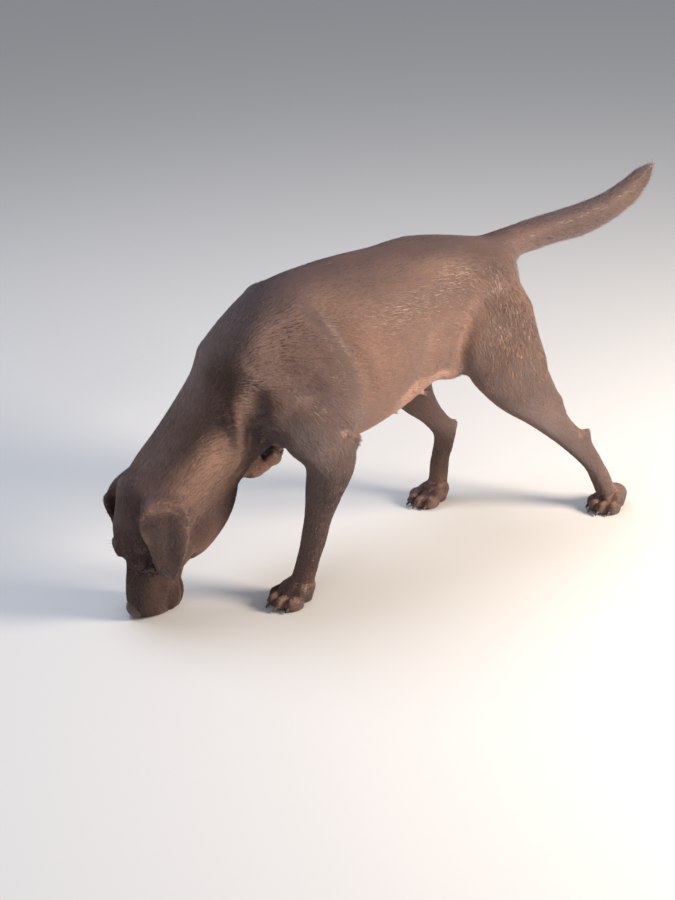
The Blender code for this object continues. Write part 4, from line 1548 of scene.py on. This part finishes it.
# %% [markdown]
# ## Bare skin, shades and painted light
# The rims of the lids and the pads are bare, and the belly is thinly haired.  Everything
# else is brown, a little darker along the spine and on the tail and a little lighter
# behind the thighs.  The face and the muzzle are darker, partly by their own colour and
# partly by painted shade.  Painted shade also darkens the shoulder and the hollow before
# it, and painted light brightens the flank, the thigh, the throat and the ears' rims.
# These could be painted on the skin, but the tufts need them too.  So they are worked out
# from the place on the body, for the skin and for the root of every tuft.

# %% Bare skin
FAR_FROM_LID = 400


def lid_gap(points, side):
    """Degrees from the rim of the eye's opening, and a large number away from the eye."""
    ray = into(HEAD, points) - np.array(EYE_SEAT[side])
    length = np.maximum(np.linalg.norm(ray, axis=1), 1e-6)
    gap = almond_gap(ray / length[:, None], side)
    return gap + FAR_FROM_LID * soft_step(length, 0.016, 0.020)


def bare_of(points, normals):
    """1 where the skin is hairless."""
    bare = np.zeros(len(points))
    for side in (LEFT, RIGHT):
        bare = np.maximum(bare, soft_step(lid_gap(points, side), 6, 3))
    for place in PAW_FRAME.values():
        local = into(place, points)
        turn = np.array(place.inverted())[:3, :3]
        facing = unit(normals @ turn.T)[:, 2]
        sole = soft_step(local[:, 2], 0.012, 0.007) * soft_step(facing, -0.25, -0.6)
        sole *= soft_step(distance_to(local, (-0.01, 0, 0.005)), 0.075, 0.060)
        bare = np.maximum(bare, sole)
    return bare


def belly_of(points, normals):
    """1 on the thinly haired skin between the flank folds, and on the teats."""
    local = from_withers(points)
    rise = 0.342 - 0.60 * np.maximum(0.24 - local[:, 0], 0)
    patch = soft_step(local[:, 2], rise + 0.004, rise - 0.004)
    patch *= soft_step(normals[:, 2], 0.15, -0.25)
    patch *= soft_step(local[:, 0], 0.165, 0.225) * soft_step(local[:, 0], 0.350, 0.315)
    patch *= soft_step(local[:, 2], 0.225, 0.245) * soft_step(np.abs(local[:, 1]), 0.108, 0.098)
    teats = np.min([distance_to(points, spot) for spot in TEAT_SPOTS], axis=0)
    return np.maximum(0.75 * patch, soft_step(teats, 0.011, 0.006))


print("bare skin is found for", len(PAW_FRAME), "paws and", len(EYES), "eyes")

# %% Shades and painted light
def shade_with_painted_light_of(points, normals):
    """From -1, darkest, to 1, lightest: the coat's own shades with painted shade and painted
    light.
    """
    local = from_withers(points)
    head = into(HEAD, points)
    spine = soft_step(normals[:, 2], 0.55, 0.95) * soft_step(local[:, 2], 0.42, 0.50)
    # the muzzle is darker partly by its own colour and partly by painted shade
    muzzle = soft_step(head[:, 0], 0.005, -0.045) * soft_step(np.abs(head[:, 1]), 0.08, 0.05)
    muzzle *= soft_step(np.abs(head[:, 2]), 0.09, 0.07)
    # painted light on the flank, where a low sun would fall
    painted_flank_light = soft_step(np.abs(local[:, 0] - 0.30), 0.30, 0.10) * soft_step(normals[:, 2], 0.5, 0.0)
    breeches = soft_step(local[:, 0], 0.40, 0.47) * soft_step(normals[:, 0], 0.0, 0.6)
    # painted highlight along the ears' rims
    painted_rim_light = np.zeros(len(points))
    for side, (line, _) in EAR_BONES.items():
        edge = soft_step(line_distance(points, line)[0], 0.018, 0.034)
        edge *= soft_step(local[:, 2], 0.205, 0.175)
        painted_rim_light = np.maximum(painted_rim_light, on_ear(points, side) * edge)
    # the face is darker partly by its own colour and partly by painted shade
    face = soft_step(head[:, 0], 0.16, 0.06) * soft_step(np.linalg.norm(head, axis=1), 0.20, 0.15)
    # painted shade over the shoulder
    painted_shoulder_shade = soft_step(distance_to(np.abs(local), (0.02, 0.10, 0.42)), 0.13, 0.05)
    tail = soft_step(local[:, 0], 0.51, 0.57) * soft_step(local[:, 2], 0.40, 0.46)
    # painted light on the thigh
    painted_thigh_light = soft_step(distance_to(np.abs(local), (0.43, 0.11, 0.39)), 0.14, 0.04)
    # painted light at the throat and painted shade in the hollow before the shoulder
    folded = np.abs(local + (0.10, 0, 0))
    throat = soft_step(distance_to(folded, (0.03, 0.05, 0.24)), 0.10, 0.03)
    painted_hollow_shade = soft_step(distance_to(folded, (0.055, 0.09, 0.31)), 0.08, 0.03)
    shade_with_painted_light = (0.65 * painted_flank_light + 0.5 * breeches + 0.8 * painted_rim_light + 0.60 * painted_thigh_light + 0.5 * throat
             - 0.50 * spine - 0.40 * muzzle - 0.70 * face * (1 - painted_rim_light) - 0.50 * painted_shoulder_shade
             - 0.45 * painted_hollow_shade - 0.40 * tail)
    return np.clip(shade_with_painted_light, -1, 1)


print("the crown of her head has the shade",
      round(float(shade_with_painted_light_of(np.array([HEAD @ Vector((0.06, 0, 0.06))]), np.eye(3)[2:])[0]), 2))

# %% Marking the skin
SKIN_TONE = -0.35


def store(mesh, name, values):
    """Keeps one number for each point of a mesh."""
    layer = mesh.attributes.new(name, "FLOAT", "POINT")
    layer.data.foreach_set("value", np.asarray(values, np.float32))


def mark_skin(mesh):
    points, normals = points_of(mesh), normals_of(mesh)
    store(mesh, "bare", bare_of(points, normals))
    # the shade stored here holds painted shade and painted light
    store(mesh, "shade_with_painted_light", shade_with_painted_light_of(points, normals))
    store(mesh, "belly", belly_of(points, normals))
    store(mesh, "tone", np.full(len(points), SKIN_TONE))


mark_skin(skin.data)
print("marked the skin")

# %% [markdown]
# ## Chocolate hair
# The colour of such a coat is a warm brown whose hairs differ a little from each other.
# Broad soft patches, a fine grain, each tuft's own tone and the shades worked out above,
# with their painted shade and painted light, vary it.  A faint sheen lightens it where it
# is seen at a slant, as on any sleek dog.  A hair shader would ask for real strands; on
# tufts of faces a plain shader with sheen comes close to it.

# %% Nodes that are used often
def own_place(tree):
    """Where a point lies in its own object."""
    return add(tree, "ShaderNodeTexCoord", output=3)


def stored(tree, name):
    """The number that a mesh keeps under a name."""
    return add(tree, "ShaderNodeAttribute", {"attribute_name": name}, output=2)


def noise(tree, scale, detail):
    """Clouds from 0 to 1 that stay with the object."""
    return add(tree, "ShaderNodeTexNoise", {},
               {"Vector": own_place(tree), "Scale": scale, "Detail": detail})


def bumps(tree, height, strength, depth):
    """A normal that is tilted by small heights."""
    return add(tree, "ShaderNodeBump", {},
               {"Strength": strength, "Distance": depth, "Height": height})


print("coat and leather helpers ready")

# %% Coat material
DARK_BROWN = (0.052, 0.025, 0.019, 1)
MID_BROWN = (0.122, 0.062, 0.043, 1)
LIGHT_BROWN = (0.265, 0.145, 0.098, 1)
BARE_BROWN = (0.070, 0.037, 0.030, 1)
BELLY_PINK = (0.400, 0.225, 0.165, 1)
SHEEN_TINT = (0.86, 0.88, 1.0, 1)


def coat_material(name, on_skin):
    made, tree, shader = surface(name, IOR=1.45, Sheen_Weight=0.14, Sheen_Roughness=0.4,
                                 Sheen_Tint=SHEEN_TINT)
    patches, grain = noise(tree, 9.0, 3.0), noise(tree, 420.0, 2.0)
    # the stored shade brings painted shade and painted light besides the coat's own shades
    shade_with_painted_light = (stored(tree, "shade_with_painted_light") * 0.40 + (patches - 0.5) * 0.7 + (grain - 0.5) * 0.5
             + stored(tree, "tone") * 0.22 + 0.5)
    dark = (shade_with_painted_light * 2).clamped().mix(DARK_BROWN, MID_BROWN)
    hair = (shade_with_painted_light * 2 - 1).clamped().mix(dark, LIGHT_BROWN)
    hair = stored(tree, "belly").mix(hair, BELLY_PINK)
    bare = stored(tree, "bare")
    wire(shader, Base_Color=bare.mix(hair, BARE_BROWN), Roughness=0.50 - bare * 0.10)
    if on_skin:
        wire(shader, Normal=bumps(tree, noise(tree, 900.0, 3.0), 0.35, 0.0006))
    return made


COAT = coat_material("chocolate_coat", on_skin=False)
SKIN_PAINT = coat_material("chocolate_skin", on_skin=True)
skin.data.materials.clear()
skin.data.materials.append(SKIN_PAINT)
skin.data.shade_smooth()
print("coat materials made")

# %% [markdown]
# ## An unwrap for the coat
# A flat map is needed to keep the coat's colours as a picture.  Unwrapping every tuft
# would leave each one a speck, so every tuft is given a tiny patch of the flat map of the
# skin instead, at the place of its own root, and neighbours share their colours.

# %% Unwrapping the skin
FOLD_ANGLE = 1.15
ISLAND_GAP = 0.002


def unwrap(obj):
    bpy.context.view_layer.objects.active = obj
    for other in bpy.data.objects:
        other.select_set(other == obj)
    bpy.ops.object.mode_set(mode="EDIT")
    bpy.ops.mesh.select_all(action="SELECT")
    bpy.ops.uv.smart_project(angle_limit=FOLD_ANGLE, island_margin=ISLAND_GAP)
    bpy.ops.object.mode_set(mode="OBJECT")
    obj.data.uv_layers.active.name = "OFBake"


unwrap(skin)
print("unwrapped", len(skin.data.loops), "corners")

# %% [markdown]
# ## Tufts
# The coat is short and lies flat.  Strands of a hair system vanish when a look is handed
# on as faces, so each tuft is a slim three-sided spike, a few hairs thick, rooted just
# under the skin and leaning a few degrees off it.  Tufts are a few millimetres long on
# the face and feet, about a centimetre on the body, and longest under the tail, on the
# throat and behind the thighs, where they break the outline.

# %% Length and width of the hair
BODY_HAIR, LEG_HAIR, PAW_HAIR = 0.0125, 0.0075, 0.0042
SKULL_HAIR, MUZZLE_HAIR, EAR_HAIR = 0.0058, 0.0032, 0.0050
TAIL_HAIR, UNDER_TAIL_MORE = 0.0135, 0.005
THROAT_MORE, ELBOW_MORE, BREECHES_MORE = 0.003, 0.0025, 0.004
WIDTH_BASE, WIDTH_SHARE = 0.00055, 0.055


def length_of(points, normals):
    """The length of the hair at each point."""
    local = from_withers(points)
    head = into(HEAD, points)
    length = np.full(len(points), BODY_HAIR)
    legs = soft_step(local[:, 2], 0.34, 0.20) * soft_step(local[:, 0], -0.09, -0.05)
    length += (LEG_HAIR - length) * legs
    skull = soft_step(head[:, 0], 0.15, 0.06) * soft_step(np.linalg.norm(head, axis=1), 0.19, 0.15)
    length += (SKULL_HAIR - length) * skull
    muzzle = soft_step(head[:, 0], 0.01, -0.04) * skull
    length += (MUZZLE_HAIR - length) * muzzle
    feet = soft_step(near_paws(points), 0.085, 0.055)
    length += (PAW_HAIR - length) * feet
    under = soft_step(normals[:, 2], 0.2, -0.6)
    length += (TAIL_HAIR + UNDER_TAIL_MORE * under - length) * on_tail(points)
    throat = soft_step(distance_to(local, (-0.07, 0.04, 0.22)), 0.12, 0.05)
    length += THROAT_MORE * throat
    elbows = np.min([distance_to(local, ELBOW[side]) for side in (LEFT, RIGHT)], axis=0)
    length += ELBOW_MORE * soft_step(elbows, 0.040, 0.018)
    breeches = soft_step(local[:, 0], 0.44, 0.49) * soft_step(local[:, 2], 0.26, 0.32)
    length += BREECHES_MORE * breeches * soft_step(normals[:, 0], 0.1, 0.6)
    ears = np.maximum(on_ear(points, LEFT), on_ear(points, RIGHT))
    return length + (EAR_HAIR - length) * ears


def width_of(length):
    return WIDTH_BASE + WIDTH_SHARE * length


print("body hair", round(BODY_HAIR * 1000, 1), "mm long in tufts",
      round(width_of(BODY_HAIR) * 1000, 2), "mm wide")

# %% Where tufts are wanted
CROWDING = 0.8
BELLY_THINNING = 0.8


def triangles_of(mesh):
    """The three corners of each triangle, as points of the mesh and as loops."""
    mesh.calc_loop_triangles()
    corners = np.zeros(len(mesh.loop_triangles) * 3, np.int64)
    loops = np.zeros_like(corners)
    mesh.loop_triangles.foreach_get("vertices", corners)
    mesh.loop_triangles.foreach_get("loops", loops)
    return corners.reshape(-1, 3), loops.reshape(-1, 3)


def wanted(mesh, corners):
    """The share of tufts for each triangle: more where hair is finer, none where bare."""
    points = points_of(mesh)
    a, b, c = (points[corners[:, k]] for k in range(3))
    area = np.linalg.norm(np.cross(b - a, c - a), axis=1) / 2
    centre = (a + b + c) / 3
    upright = unit(normals_of(mesh)[corners].mean(1))
    length = length_of(centre, upright)
    want = area / (length * width_of(length)) ** CROWDING
    want *= 1 - bare_of(centre, upright)
    want *= 1 - BELLY_THINNING * belly_of(centre, upright)
    for side in (LEFT, RIGHT):
        want *= soft_step(lid_gap(centre, side), 3, 6)
    return want * soft_step(centre[:, 2], 0.0015, 0.003)


SKIN_CORNERS, SKIN_LOOPS = triangles_of(skin.data)
print("skin triangles:", len(SKIN_CORNERS))

# %% Rooting the tufts
def map_places(mesh):
    """Where each corner of a face lies on the flat map."""
    uv = np.zeros(len(mesh.loops) * 2)
    mesh.uv_layers["OFBake"].data.foreach_get("uv", uv)
    return uv.reshape(-1, 2)


def scatter(mesh, count, rng):
    """Random roots over the skin: places, ways up, lies and places on the flat map."""
    ladder = np.cumsum(wanted(mesh, SKIN_CORNERS))
    picks = np.searchsorted(ladder, rng.random(count) * ladder[-1])
    picks = np.minimum(picks, len(ladder) - 1)
    u, v = rng.random(count), rng.random(count)
    over = u + v > 1
    u[over], v[over] = 1 - u[over], 1 - v[over]
    share = np.stack([1 - u - v, u, v], 1)[..., None]
    corners, loops = SKIN_CORNERS[picks], SKIN_LOOPS[picks]
    roots = (points_of(mesh)[corners] * share).sum(1)
    upright = unit((normals_of(mesh)[corners] * share).sum(1))
    lie = (lie_field(mesh)[corners] * share).sum(1)
    patch = (map_places(mesh)[loops] * share).sum(1)
    return roots, upright, lie, patch


print("flat map of", len(map_places(skin.data)), "corners")

# %% Growing the tufts
LEAN = math.radians(6.5)
TAIL_LIFT = 0.9
SWING = 0.11
TONE_SPREAD = 0.45
ROOT_DEPTH = 0.0004
RIDGE_RISE, RIDGE_PLACE = 0.40, 0.12


def grow(roots, upright, lie, rng):
    """Corner places and tones of the tufts: left, right, ridge and tip."""
    count = len(roots)
    lie = unit(lie - upright * (lie * upright).sum(1)[:, None])
    beside = np.cross(upright, lie)
    swing = rng.normal(0, SWING, count)[:, None]
    lie = unit(lie * np.cos(swing) + beside * np.sin(swing))
    beside = np.cross(upright, lie)
    length = length_of(roots, upright) * rng.uniform(0.75, 1.2, count)
    half = 0.5 * width_of(length) * rng.uniform(0.8, 1.25, count)
    lean = LEAN * rng.uniform(0.4, 1.5, count) * (1 + TAIL_LIFT * on_tail(roots))
    tip = roots + (lie * np.cos(lean)[:, None] + upright * np.sin(lean)[:, None]) * length[:, None]
    sunk = roots - upright * ROOT_DEPTH
    left = sunk - beside * half[:, None]
    right = sunk + beside * half[:, None]
    ridge = roots + upright * (RIDGE_RISE * half)[:, None] + lie * (RIDGE_PLACE * length)[:, None]
    tone = np.clip(rng.normal(0, TONE_SPREAD, count), -1, 1)
    corners = np.stack([left, right, ridge, tip], 1)
    corners[..., 2] = np.maximum(corners[..., 2], FLOOR_CLEAR)
    return corners, tone


print("tufts lean about", round(math.degrees(LEAN), 1), "degrees off the skin")

# %% One piece of the coat
TUFT_FACES = np.array([(0, 2, 3), (2, 1, 3), (1, 0, 3)])
TUFT_TONES = np.array((-0.5, -0.5, 0.0, 0.6))
PATCH_WIDTH = 0.003
TUFT_PATCH = np.array([(-0.5, -0.5), (0.5, -0.5), (0.0, -0.2), (0.0, 0.5)]) * PATCH_WIDTH
BELLY_TUFTS = 0.8


def coat_piece(name, corners, roots, upright, patch, tone):
    """One mesh of many tufts, three faces each."""
    count = len(corners)
    mesh = bpy.data.meshes.new(name)
    mesh.vertices.add(count * 4)
    mesh.vertices.foreach_set("co", corners.reshape(-1))
    faces = (np.arange(count)[:, None, None] * 4 + TUFT_FACES[None]).reshape(-1)
    mesh.loops.add(len(faces))
    mesh.loops.foreach_set("vertex_index", faces)
    mesh.polygons.add(len(faces) // 3)
    mesh.polygons.foreach_set("loop_start", np.arange(0, len(faces), 3))
    mesh.update(calc_edges=True)
    uv = patch[:, None] + TUFT_PATCH[None]
    layer = mesh.uv_layers.new(name="OFBake")
    layer.data.foreach_set("uv", uv.reshape(-1, 2)[faces].reshape(-1))
    store(mesh, "bare", np.zeros(count * 4))
    store(mesh, "belly", np.repeat(BELLY_TUFTS * belly_of(roots, upright), 4))
    # the shade stored here holds painted shade and painted light
    store(mesh, "shade_with_painted_light", np.repeat(shade_with_painted_light_of(roots, upright), 4))
    store(mesh, "tone", (tone[:, None] + TUFT_TONES).reshape(-1))
    mesh.shade_smooth()
    mesh.materials.append(COAT)
    piece = bpy.data.objects.new(name, mesh)
    bpy.context.scene.collection.objects.link(piece)
    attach(piece, "root")
    return piece


print("each tuft has", len(TUFT_FACES), "faces")

# %% The coat
TUFT_COUNT = 400000
PIECE_TUFTS = 62000


def grow_coat(mesh, count):
    """All tufts, parted into pieces from the nose back."""
    rng = np.random.default_rng(11)
    roots, upright, lie, patch = scatter(mesh, count, rng)
    corners, tone = grow(roots, upright, lie, rng)
    order = np.argsort(roots[:, 0])
    pieces = []
    for number, chosen in enumerate(np.array_split(order, math.ceil(count / PIECE_TUFTS)), 1):
        pieces.append(coat_piece(f"coat_{number}", corners[chosen], roots[chosen],
                                 upright[chosen], patch[chosen], tone[chosen]))
    return pieces


coat = grow_coat(skin.data, TUFT_COUNT)
print("coat:", len(coat), "pieces,", sum(len(piece.data.polygons) for piece in coat), "faces")

# %% [markdown]
# ## Nose leather and horn
# The nose is moist and pebbled all over like fine leather.  Pebbles could be sculpted,
# but they are finer than the faces, so a cell pattern gives both their bumps and a painted
# shade that darkens the creases between them.  The claws are brown horn, cloudy with
# darker and paler patches.

# %% Nose and horn materials
LIVER_LIGHT, LIVER_DARK = (0.085, 0.042, 0.034, 1), (0.036, 0.018, 0.016, 1)
HORN_DARK, HORN_LIGHT = (0.040, 0.024, 0.018, 1), (0.120, 0.078, 0.055, 1)


def nose_leather():
    made, tree, shader = surface("nose_leather", IOR=1.42, Coat_Weight=0.35,
                                 Coat_Roughness=0.22)
    pebbles = add(tree, "ShaderNodeTexVoronoi", {"feature": "SMOOTH_F1"},
                  {"Vector": own_place(tree), "Scale": 760.0, "Randomness": 0.9})
    cloud = noise(tree, 60.0, 3.0)
    # creases between the pebbles: sunk by the bump and darkened with painted shade
    crease_and_painted_shade = pebbles.between(0.25, 0.75)
    wire(shader, Roughness=0.34 + cloud * 0.2,
         Base_Color=(cloud * 0.7 + crease_and_painted_shade * 0.3).clamped().mix(LIVER_LIGHT, LIVER_DARK),
         Normal=bumps(tree, 1 - crease_and_painted_shade, 0.55, 0.0007))
    return made


def claw_horn():
    made, tree, shader = surface("claw_horn", IOR=1.54, Coat_Weight=0.15)
    bands = noise(tree, 130.0, 4.0)
    wire(shader, Roughness=0.36 + bands * 0.2,
         Base_Color=bands.between(0.35, 0.7).mix(HORN_DARK, HORN_LIGHT))
    return made


nose.data.materials.append(nose_leather())
horn = claw_horn()
for claws in CLAWS:
    claws.data.materials.append(horn)
print("nose and claws painted")

# %% [markdown]
# ## The skin replaces the solids
# One skin stands for every fleshy solid of the dog, because she has no joint at which it
# would have to part.  So those solids are hidden.

# %% The skin replaces the solids
FLESH = [name for name in NODES if not name.startswith(("eye", "nose", "claw"))]
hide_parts(*FLESH)
